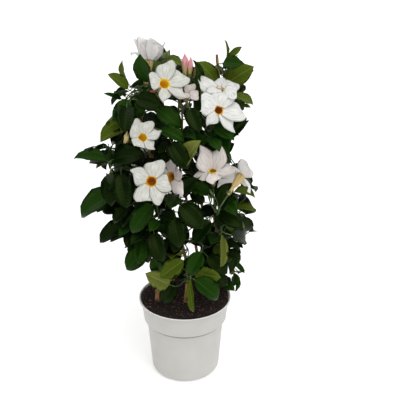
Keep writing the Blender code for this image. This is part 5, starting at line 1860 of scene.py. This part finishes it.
def ring_mesh(name, rings, slots):
    """A closed skin through the rings, with a UV map and one material number for each band."""
    form = bmesh.new()
    uv = form.loops.layers.uv.new("UVMap")
    rows = [[form.verts.new(spot) for spot in ring] for ring in rings]
    count = len(rows[0])
    for i, slot in enumerate(slots):
        for k in range(count):
            after = (k + 1) % count
            face = form.faces.new((rows[i][k], rows[i][after], rows[i + 1][after], rows[i + 1][k]))
            face.smooth = True
            face.material_index = slot
            for loop, spot in zip(face.loops, ((k, i), (k + 1, i), (k + 1, i + 1), (k, i + 1))):
                loop[uv].uv = (spot[0] / count, spot[1] / len(slots))
    form.faces.new(rows[0]).material_index = slots[0]
    form.faces.new(rows[-1]).material_index = slots[-1]
    bmesh.ops.recalc_face_normals(form, faces=form.faces)
    mesh = bpy.data.meshes.new(name)
    form.to_mesh(mesh)
    form.free()
    return mesh


def place_piece(name, mesh, matrix, materials):
    """An object with its place in its mesh."""
    mesh.transform(matrix)
    for material in materials:
        mesh.materials.append(material)
    return add_object(name, mesh)


print("a skin of rings is closed by its first and last ring")

# %% [markdown]
# ## The funnel and the bud
#
# Below the lobes the petals are grown together into a tube: narrow at the foot, then a bell with a
# thin wall, ochre outside and bright at the mouth. A bud is the same still furled: a slim spindle
# with five soft ribs, wound by a twist that grows along it.

# %% Funnels and buds
FUNNEL_SIDES = 20
# Radius and height above the foot, up the outside, over the mouth and down inside, in tenths of a mm
FUNNEL_ROWS = ((3, 0), (24, 0), (30, 60), (31, 160), (40, 220), (64, 300), (78, 380), (85, 450), (91, 500),
               (85, 502), (78, 460), (69, 400), (54, 330), (34, 280), (4, 270))
FUNNEL_PROFILE = [(radius / 10000, height / 10000) for radius, height in FUNNEL_ROWS]
FUNNEL_SLOTS = (0,) * 8 + (1, 1, 1) + (2, 2, 2)
BUD_RINGS = 16
BUD_POINTS = 20


def standing(place, direction):
    """The matrix that stands a piece along a direction."""
    matrix = direction.to_track_quat("Z", "Y").to_matrix().to_4x4()
    matrix.translation = place
    return matrix


def funnel_mesh(foot, face, mouth):
    """The tube of a flower, which bends from the way it faces to the way its mouth does."""
    rings = []
    for radius, height in FUNNEL_PROFILE:
        bent = mix(face, mouth, (height / TUBE_LENGTH) ** 3).normalized()
        place = standing(foot + face * height, bent)
        rings.append([place @ Vector(spot) for spot in turned_rings([(radius, 0.0)], FUNNEL_SIDES)[0]])
    return ring_mesh("funnel", rings, FUNNEL_SLOTS)


def bud_mesh(length, width):
    """A furled bud along +Z from its foot at zero."""
    rings = []
    for i in range(BUD_RINGS + 1):
        t = i / BUD_RINGS
        swell = 0.42 + 0.58 * math.sin(math.pi * min(1.0, t * 1.05) ** 1.25)
        radius = width * swell * (1.0 - smooth((t - 0.62) / 0.38)) + TIP_RING
        ring = []
        for k in range(BUD_POINTS):
            turn = 2 * math.pi * k / BUD_POINTS
            out = radius * (1.0 + 0.13 * smooth(t * 2) * math.cos(5 * turn))
            wound = turn + 2.4 * t * t
            ring.append((out * math.cos(wound), out * math.sin(wound), t * length))
        rings.append(ring)
    return ring_mesh("bud", rings, [0 if i < BUD_RINGS * 0.4 else 1 for i in range(BUD_RINGS)])


print("a funnel has", len(FUNNEL_PROFILE), "rings and a bud", BUD_RINGS + 1)

# %% [markdown]
# ## The lobes of each flower
#
# Every open flower keeps the attitude of its five lobes, because the eye knows a flower by its
# outline. A row is one lobe: its direction clockwise from the top of the face, length and width in
# mm, rise towards the viewer in degrees, and its kind where it isn't blunt. Those of the back have
# even angles.

# %% Lobes of each flower
LOBE_ROWS_OF = {
    0: ((35, 34, 36, 68, "cupped"), (345, 35, 40, 78, "cupped"), (295, 35, 40, 76, "cupped"),
        (225, 33, 36, 66, "cupped"), (95, 30, 20, 42, "drooping")),
    1: ((10, 31, 34, 15), (70, 33, 36, 5), (120, 34, 26, 5, "pointed"), (185, 24, 24, 5, "pointed"),
        (285, 20, 30, 15)),
    2: ((15, 18, 22, 20), (110, 20, 22, 10), (180, 14, 24, 10), (250, 14, 20, 10), (310, 18, 20, 15)),
    3: ((15, 29, 44, 20), (95, 39, 36, 5), (140, 40, 27, -5, "pointed"), (215, 27, 24, -5, "pointed"),
        (295, 30, 40, 10)),
    4: ((285, 35, 28, 10), (340, 20, 34, 10), (45, 22, 36, 10), (110, 26, 32, 5), (200, 14, 30, 5)),
    5: ((320, 26, 34, 35), (20, 24, 30, 40), (75, 26, 28, 25, "pointed"), (140, 21, 26, 5, "pointed"),
        (225, 15, 30, 5, "pointed")),
    6: ((10, 30, 38, 10), (95, 26, 34, 5), (148, 32, 32, 5), (200, 31, 40, 5), (290, 31, 34, 5, "pointed")),
    7: ((345, 28, 28, 10, "pointed"), (55, 20, 30, 10, "pointed"), (120, 38, 26, 10, "pointed"),
        (200, 28, 28, 5), (270, 26, 30, 5)),
    8: ((315, 46, 38, 50, "pointed"), (10, 43, 42, 50, "pointed"), (80, 32, 30, 15),
        (165, 19, 34, -20, "pointed"), (250, 33, 22, -20, "pointed")),
    9: ((325, 38, 36, 0), (235, 27, 3, -15, "drooping"), (100, 40, 42, -28), (40, 30, 38, -14),
        (200, 15, 14, -10)),
}
LOBE_FOOT = 0.0082
# Flowers whose throat is narrower, with its share of the common size
NARROW_THROATS = {3: 0.78, 5: 0.84, 8: 0.7}
# Flowers whose tube bends up towards its mouth, with the rise of the mouth in degrees
MOUTH_RISES = {2: 108, 4: 112, 8: 84}


def even_lobes(flower, rng):
    """Lobe rows of a flower of the back, at even angles."""
    rows = []
    for k in range(PETALS):
        length = 1000 * (flower.width / 2 - LOBE_FOOT) * rng.uniform(0.92, 1.0)
        rows.append((flower.roll + 360 * k / PETALS, length, length * 1.15, rng.uniform(-5, 12)))
    return rows


def lobe_points(flower, rows, mouth, number):
    """One point for each lobe, turned round the face of its flower, with its foot on the mouth."""
    face = flower_axes(flower)[0]
    up = across(Vector((0, 0, 1)), face)
    points = []
    for k, (angle, length, width, tilt, *kind) in enumerate(rows):
        angle, tilt = math.radians(angle), math.radians(tilt)
        out = up.cross(face) * math.sin(angle) + up * math.cos(angle)
        ahead = out * math.cos(tilt) + face * math.sin(tilt)
        normal = face * math.cos(tilt) - out * math.sin(tilt)
        size = (width / 1000, length / 1000, length / 1000)
        form = 2 * list(LOBE_KINDS).index(kind[0] if kind else "blunt") + (k + number) % 2
        foot = Vector(flower.throat) + across(out, mouth) * (LOBE_FOOT * NARROW_THROATS.get(number, 1.0))
        points.append((foot, (ahead.cross(normal), ahead, normal), size, form))
    return point_mesh("lobe_points", points)


print("flowers with lobes of their own:", len(LOBE_ROWS_OF))

# %% [markdown]
# ## Sepals
#
# Five small green sepals stand round the foot of each tube and bud. They are too small for a shape
# of their own, so the tree that sets the leaves sets small blades for them too.

# %% Sepals
SEPALS = 5
SEPAL_SIZE = (0.0034, 0.0085, 0.0085)
SEPAL_RING = 0.0016


def sepal_points(foot, face, radius):
    """One point for each sepal round the foot of a tube or bud."""
    points = []
    for k in range(SEPALS):
        turn = 2 * math.pi * (k + 0.3) / SEPALS
        side = across(Vector((0, 0, 1)) if abs(face.z) < 0.9 else Vector((0, 1, 0)), face)
        out = side * math.cos(turn) + face.cross(side) * math.sin(turn)
        ahead = (face + out * 0.3).normalized()
        normal = across(out, ahead)
        points.append((foot + out * radius, (ahead.cross(normal), ahead, normal), SEPAL_SIZE, k))
    return points


print(SEPALS, "sepals stand", SEPAL_RING * 1000, "mm from the middle of a tube")

# %% [markdown]
# ## Tubes, lobes and buds
#
# All flowers of a plant are alike, but each has its own age and light, so copies of one would look
# wrong. Most throats are amber, three are a clear yellow, and two that are seen at a slant show
# only petal. Petals of flowers in the shade of others take a greyer white, which is painted shade,
# and a few are flushed with pink, as they are when they age.

# %% Make the blossom
YELLOW_THROATS = (1, 5, 8)
PALE_THROATS = (2, 4)
# Flowers 1, 5 and 6 take the greyer petal as painted shade, and 2, 7 and 8 the pink flush
PETAL_COATS = {1: "petal_milky", 5: "petal_milky", 6: "petal_milky",
               2: "petal_blush", 7: "petal_blush", 8: "petal_blush"}
CREAM_BUDS = (2,)

bloom_rng = random.Random(5)
blossom_parts = {"front": [], "back": []}
sepal_rows = {"front": [], "back": []}
for number, bloom in enumerate(FLOWERS + BUDS):
    if bloom not in blooms:
        continue
    side = "back" if "back" in bloom.mass else "front"
    parts = blossom_parts[side]
    foot, face = bloom_seat(bloom)
    if isinstance(bloom, Flower):
        rows = LOBE_ROWS_OF.get(number) or even_lobes(bloom, bloom_rng)
        mouth = flower_axes(bloom._replace(rise=MOUTH_RISES.get(number, bloom.rise)))[0]
        yellow = number in YELLOW_THROATS
        petal = tissue[PETAL_COATS.get(number, "petal_white")]
        throat = tissue["throat_yellow" if yellow else "throat_amber"]
        deep = tissue["throat_gold" if yellow else "throat_deep"]
        values = {"Forms": lobes, "Upper side": petal, "Underside": tissue["petal_back"], "Middle": throat}
        spots = lobe_points(bloom, rows, mouth, number)
        parts.append(grown_mesh(f"lobes_{number}", spots, blade_tree, values))
        coats = [tissue["tube_ochre"]] + ([petal] * 2 if number in PALE_THROATS else [throat, deep])
        parts.append(place_piece(f"funnel_{number}", funnel_mesh(foot, face, mouth), Matrix(), coats))
        sepal_rows[side] += sepal_points(foot, face, SEPAL_RING)
    else:
        cream = number - len(FLOWERS) in CREAM_BUDS
        coats = [tissue["tube_ochre"], tissue["bud_cream" if cream else "bud_pink"]]
        shape = bud_mesh((Vector(bloom.tip) - foot).length, bloom.radius)
        parts.append(place_piece(f"bud_{number}", shape, standing(foot, face), coats))
        sepal_rows[side] += sepal_points(foot, face, bloom.radius * 0.3)
for bud, coat in SMALL_BUDS:
    foot, face = bloom_seat(bud)
    shape = bud_mesh((Vector(bud.tip) - foot).length, bud.radius)
    piece = place_piece("small_bud", shape, standing(foot, face), [tissue[coat], tissue[coat]])
    blossom_parts["front"].append(piece)
blossom_pieces = {}
for side, parts in blossom_parts.items():
    values = dict.fromkeys(("Upper side", "Underside", "Middle"), tissue["sepal_green"])
    values["Forms"] = blades
    spots = point_mesh("sepal_points", sepal_rows[side])
    parts.append(grown_mesh("sepals_" + side, spots, blade_tree, values))
    blossom_pieces[side] = join_pieces("blossom_" + side, parts)
for mesh in [mesh for mesh in bpy.data.meshes if mesh.users == 0]:
    bpy.data.meshes.remove(mesh)
print("blossom:", {side: len(piece.data.polygons) for side, piece in blossom_pieces.items()})

# %% [markdown]
# ## The pot
#
# The pot is injection-moulded polypropylene, white and matt, with a fine even grain from the mould.
# Painted shade darkens the crease under the collar, and a painted highlight gives the lip a bright edge.
# Each is a material with a very low relief.

# %% Pot material
# The grain of the mould is too fine to show. What is drawn is a slow drift of tone, 45 mm wide, and
# a grain 17 mm long in the painted highlight on the lip
pot_plastic = grained_material("moulded_polypropylene", "#bdbcb7", "#b8b7b2", 0.48, 22.0, 0.05, 0.0005)
# painted shade: a darker copy of the plastic for the crease under the collar, which the overhang shades
pot_crease_shade = grained_material("dusty_crease", "#96958f", "#8b8a84", 0.7, 22.0, 0.05, 0.0005)
# painted highlight: a brighter white for the lip's top edge, where the light catches it
pot_lip = grained_material("scuffed_lip", "#ffffff", "#f4f4f0", 0.6, 60.0, 0.2, 0.0005)
print("pot materials:", pot_plastic.name, pot_crease_shade.name, pot_lip.name)

# %% [markdown]
# ## The walls of the pot
#
# From its rounded foot the wall widens to a cove, and the collar stands over that as a step. The
# pot could be cut from a cylinder with Booleans, but its walls are all of one thickness. So one
# function gives the inner radius at any height, and a second adds the wall.

# %% Walls of the pot
COLLAR_BOTTOM = POT_HEIGHT - COLLAR_HEIGHT
COVE_BOTTOM = COLLAR_BOTTOM - COVE_HEIGHT
STEP_TOP = COLLAR_BOTTOM + COLLAR_STEP
LIP_BOTTOM = POT_HEIGHT - POT_LIP_DEPTH


def inner_radius(height):
    """Radius of the pot's inner wall at a height: body, cove, ledge or collar."""
    body = FOOT_RADIUS + BODY_FLARE
    collar_low = POT_RADIUS - COLLAR_FLARE
    collar_high = POT_RADIUS - POT_LIP + POT_WALL
    if height < COVE_BOTTOM:
        outer = mix(FOOT_RADIUS, body, height / COVE_BOTTOM)
    elif height < COLLAR_BOTTOM:
        outer = mix(body, collar_low - COLLAR_LEDGE, ((height - COVE_BOTTOM) / COVE_HEIGHT) ** 1.6)
    elif height < STEP_TOP:
        outer = mix(collar_low - COLLAR_LEDGE, collar_low, (height - COLLAR_BOTTOM) / COLLAR_STEP)
    else:
        outer = mix(collar_low, collar_high, (height - STEP_TOP) / (POT_HEIGHT - STEP_TOP))
    return outer - POT_WALL


def outer_spot(height, below=0.0):
    """A point of the outer wall, as wide as the wall is a little below it."""
    return inner_radius(height - below) + POT_WALL, height


print("the rim is", round(outer_spot(LIP_BOTTOM)[0] * 2000), "mm wide under its lip")

# %% [markdown]
# ## The profile of the pot
#
# Moulded plastic has no sharp edge, and the eye reads the soft line of light along the lip. A Bevel
# modifier would round every edge alike. Here the corners of the profile are eased before it is
# turned, and each band of the wall takes its material by its place.

# %% Pot shape
POT_SIDES = 112
CORNER_EASE = 0.0006
LIP_THICKNESS = 0.0020
# The painted shade in the crease under the collar reaches down to about this height
CREASE_LOW = COVE_BOTTOM - 0.0018


def eased(profile, size, count=4):
    """A profile of (radius, height) with each inner corner rounded off to about a size."""
    points = [profile[0]]
    for before, corner, after in zip(profile, profile[1:], profile[2:]):
        corner, before, after = Vector(corner), Vector(before), Vector(after)
        reach = min(size, (corner - before).length * 0.45, (after - corner).length * 0.45)
        first = corner + (before - corner).normalized() * reach
        last = corner + (after - corner).normalized() * reach
        for i in range(count + 1):
            t = i / count
            points.append(tuple(first * (1 - t) ** 2 + corner * 2 * t * (1 - t) + last * t * t))
    return points + [profile[-1]]


cove = [COVE_BOTTOM + COVE_HEIGHT * k / 6 for k in range(7)]
inside_heights = [FOOT_ROUNDING] + cove + [STEP_TOP, POT_HEIGHT - 0.006]
foot_turns = [math.pi / 2 * k / 8 for k in range(9)]
wall_profile = [(TIP_RING, POT_WALL), (FOOT_RADIUS - FOOT_ROUNDING, POT_WALL)]
wall_profile += [(inner_radius(height), height) for height in inside_heights]
wall_profile += [(POT_RADIUS - LIP_THICKNESS, POT_HEIGHT), (POT_RADIUS, POT_HEIGHT)]
wall_profile.append((POT_RADIUS, LIP_BOTTOM))
wall_profile += [outer_spot(LIP_BOTTOM), outer_spot(COLLAR_BOTTOM + COLLAR_LEDGE)]
wall_profile += [outer_spot(height, GAP) for height in reversed(cove)]
wall_profile.append((inner_radius(CREASE_LOW) + POT_WALL, CREASE_LOW + 0.0005))
wall_profile += [(FOOT_RADIUS - FOOT_ROUNDING * (1 - math.cos(turn)), FOOT_ROUNDING * (1 - math.sin(turn)))
                 for turn in foot_turns]
wall_profile.append((TIP_RING, 0))
pot_profile = eased(wall_profile, CORNER_EASE)
pot_slots = []
for (radius, height), (next_radius, next_height) in zip(pot_profile, pot_profile[1:]):
    low, high = sorted((height, next_height))
    outside = radius > inner_radius(height) + POT_WALL / 2
    # painted shade: the bands of the outer wall in the crease under the collar
    in_shaded_crease = outside and low > CREASE_LOW and high < STEP_TOP - 0.003
    # painted highlight: the bands on top of the lip take the brighter white
    on_lip = low > POT_HEIGHT - 0.0022 and max(radius, next_radius) > POT_RADIUS - 0.003
    pot_slots.append(1 if in_shaded_crease else 2 if on_lip else 0)
pot_mesh = ring_mesh("pot", turned_rings(pot_profile, POT_SIDES), pot_slots)
pot_piece = place_piece("nursery_pot", pot_mesh, Matrix(), [pot_plastic, pot_crease_shade, pot_lip])
print("the pot has", len(pot_piece.data.polygons), "faces")

# %% [markdown]
# ## The soil
#
# Potting compost is peat and bark fibre: nearly black, dull and all crumbs, with a few lighter
# chips. Two materials with a coarse relief are enough, since the crumbs themselves are shapes.

# %% Soil materials
# Both vary over 4 mm, which is about the width of a larger crumb
compost = grained_material("damp_compost", "#26180f", "#0a0604", 0.95, 260.0, 0.8, 0.001)
bark_chip = grained_material("bark_chips", "#80563a", "#452a1a", 0.95, 260.0, 0.8, 0.001)
print("soil materials:", compost.name, bark_chip.name)

# %% [markdown]
# ## Crumbs
#
# A crumb is a ball of twenty faces, turned and stretched at random, so that no two look alike.
# Setting them by hand or by physics would take long for no gain, so a tree scatters them where the
# bed faces up, from a fixed seed.

# %% The tree that scatters crumbs
crumb_tree, given, result = new_tree("crumbs over a bed", {
    "Crumbs a square metre": "Float", "Smallest": "Float", "Largest": "Float", "Seed": "Int",
    "Material": "Material"})
add = partial(add_node, crumb_tree)
upward = add("GeometryNodeInputNormal")
slope = add("ShaderNodeSeparateXYZ", {"Vector": upward})
top_only = add("FunctionNodeCompare", {0: slope.outputs["Z"], 1: 0.5}, data_type="FLOAT",
               operation="GREATER_THAN")
spots = add("GeometryNodeDistributePointsOnFaces",
            {"Mesh": given["Geometry"], "Selection": top_only, "Density": given["Crumbs a square metre"],
             "Seed": given["Seed"]})
crumb = add("GeometryNodeMeshIcoSphere", {"Radius": 1.0, "Subdivisions": 1})
spin = add("FunctionNodeRandomValue", {"Max": (6.28, 6.28, 6.28), "Seed": given["Seed"]},
           data_type="FLOAT_VECTOR")
shape = add("FunctionNodeRandomValue", {"Min": (0.6, 0.5, 0.4), "Max": (1.6, 1.0, 0.8), "Seed": 7},
            data_type="FLOAT_VECTOR")
grade = add("FunctionNodeRandomValue", {2: given["Smallest"], 3: given["Largest"], "Seed": 8},
            data_type="FLOAT")
crumb_size = add("ShaderNodeVectorMath", {0: shape, "Scale": grade.outputs[1]}, operation="SCALE")
flow = add("GeometryNodeInstanceOnPoints",
           {"Points": spots, "Instance": crumb, "Rotation": spin, "Scale": crumb_size})
flow = add("GeometryNodeRealizeInstances", {"Geometry": flow})
flow = add("GeometryNodeSetMaterial", {"Geometry": flow, "Material": given["Material"]})
crumb_tree.links.new(flow.outputs[0], result["Geometry"])
print("the crumb tree has", len(crumb_tree.nodes), "nodes")

# %% [markdown]
# ## Fill the pot
#
# The bed is a turned disc with low humps. It is scattered twice: closely with small dark crumbs,
# and thinly with larger, lighter chips. It stays below the lip and clear of the wall.

# %% Make the soil
SOIL_TOP = POT_HEIGHT - 0.0018
SOIL_EDGE = POT_RADIUS - LIP_THICKNESS - 0.0018
SOIL_RINGS = 14
SOIL_SIDES = 72
HUMPS = 0.0018
HUMP_TURNS = 55  # radians a metre

soil_profile = [(TIP_RING, SOIL_TOP)]
soil_profile += [(SOIL_EDGE * (k + 1) / SOIL_RINGS, SOIL_TOP) for k in range(SOIL_RINGS)]
soil_profile.append((inner_radius(SOIL_TOP) - 0.002, SOIL_TOP - 0.006))
soil_profile += [(inner_radius(STEP_TOP + GAP) - GAP, STEP_TOP + GAP), (TIP_RING, STEP_TOP + GAP)]
bed_mesh = ring_mesh("soil_bed", turned_rings(soil_profile, SOIL_SIDES), [0] * (len(soil_profile) - 1))
for vert in bed_mesh.vertices:
    if vert.co.z > SOIL_TOP - 0.0001:
        x, y = vert.co.x * HUMP_TURNS, vert.co.y * HUMP_TURNS
        hump = math.sin(x + 0.8 * math.sin(y)) * math.cos(1.3 * y + 0.5 * math.sin(x * 1.7))
        vert.co.z += HUMPS * (hump - 0.4)
soil_bed = place_piece("soil_bed", bed_mesh, Matrix(), [compost])
small_crumbs = {"Crumbs a square metre": 110000.0, "Smallest": 0.0006, "Largest": 0.0019, "Seed": 4,
                "Material": compost}
large_crumbs = {"Crumbs a square metre": 14000.0, "Smallest": 0.0010, "Largest": 0.0026, "Seed": 9,
                "Material": bark_chip}
crumb_pieces = [grown_mesh("crumbs", soil_bed.data.copy(), crumb_tree, small_crumbs),
                grown_mesh("chips", soil_bed.data.copy(), crumb_tree, large_crumbs)]
soil_piece = join_pieces("compost", [soil_bed] + crumb_pieces)
print("the soil has", len(soil_piece.data.polygons), "faces")

# %% [markdown]
# ## What stands for what
#
# Each piece takes the place of the solids that it dresses, and rides on the body that carries them.
# Plant and pot are one body, so there is only the root.

# %% Tie the pieces to the frame
for zone, piece in leaf_pieces.items():
    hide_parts(*ZONES[zone])
for name, piece in stem_pieces.items():
    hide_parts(name)
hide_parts("pot")
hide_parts("soil")
for name, piece in stem_pieces.items():
    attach(piece, "root")
for piece in (*leaf_pieces.values(), *blossom_pieces.values(), twig_piece, petiole_piece):
    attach(piece, "root")
for piece in (pot_piece, soil_piece):
    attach(piece, "root")
for forms in (blades, lobes):
    for form in list(forms.objects):
        bpy.data.objects.remove(form)
    bpy.data.collections.remove(forms)
print("pieces on the root:", len(leaf_pieces) + len(blossom_pieces) + len(stem_pieces) + 4)

# %% [markdown]
# ## Floor, light and camera
#
# The plant stands on a plain pale floor in soft studio light: a bright surround and one wide lamp
# high in front, since hard light would burn out the petals. The camera looks down a little from the
# front.

# %% Stage
FLOOR_REACH = 6  # half the width of the floor
SKY_LIGHT = (0.36, 1.38)  # strength of the surround at the horizon and overhead
SIDE_LIGHT = (0.80, 1.08)  # its share on the left and on the right
LAMP_WAY = (-0.45, 1.2, -1.7)  # the way the lamp shines
CAMERA_TILT = 66.7  # degrees; 90 would look level
FOCAL_LENGTH = 65.3  # in millimetres, on a sensor 36 wide

corners = [(-1, -1), (1, -1), (1, 1), (-1, 1)]
floor_mesh = bpy.data.meshes.new("floor")
floor_mesh.from_pydata([(x * FLOOR_REACH, y * FLOOR_REACH, 0) for x, y in corners], [], [range(4)])
floor_piece = add_object("floor", floor_mesh)
paper, _, surface = new_material("white_studio_paper", 0.9)
surface["Base Color"].default_value = linear("#f6f6f4")
surface["Emission Color"].default_value = linear("#ffffff")
surface["Emission Strength"].default_value = 0.2
floor_mesh.materials.append(paper)

world = bpy.data.worlds.new("studio")
world.use_nodes = True
sky = world.node_tree
add = partial(add_node, sky)
ray = add("ShaderNodeTexCoord")
height = add("ShaderNodeSeparateXYZ", {"Vector": ray.outputs["Generated"]}).outputs
tent = add("ShaderNodeMapRange", {"Value": height["Z"], "To Min": SKY_LIGHT[0], "To Max": SKY_LIGHT[1]})
side_share = add("ShaderNodeMapRange", {"Value": height["X"], "From Min": -1.0,
                                        "To Min": SIDE_LIGHT[0], "To Max": SIDE_LIGHT[1]})
lit = add("ShaderNodeMath", {0: tent, 1: side_share}, operation="MULTIPLY")
sky.nodes["Background"].inputs["Color"].default_value = linear("#fdfdff")
sky.links.new(lit.outputs[0], sky.nodes["Background"].inputs["Strength"])
bpy.context.scene.world = world

sky_lamp = bpy.data.lights.new("soft_lamp", "SUN")
sky_lamp.energy = 1.0
sky_lamp.angle = math.radians(50)
lamp = add_object("soft_lamp", sky_lamp)
lamp.rotation_euler = Vector(LAMP_WAY).to_track_quat("-Z", "Y").to_euler()

camera_data = bpy.data.cameras.new("camera")
camera_data.lens = FOCAL_LENGTH
camera_data.sensor_width = 36.0
camera = add_object("camera", camera_data)
camera.location = VIEWER
camera.rotation_euler = (math.radians(CAMERA_TILT), 0.0, 0.0)
bpy.context.scene.camera = camera
bpy.context.scene.view_settings.view_transform = "Standard"
print("the camera looks from", [round(c, 2) for c in camera.location])
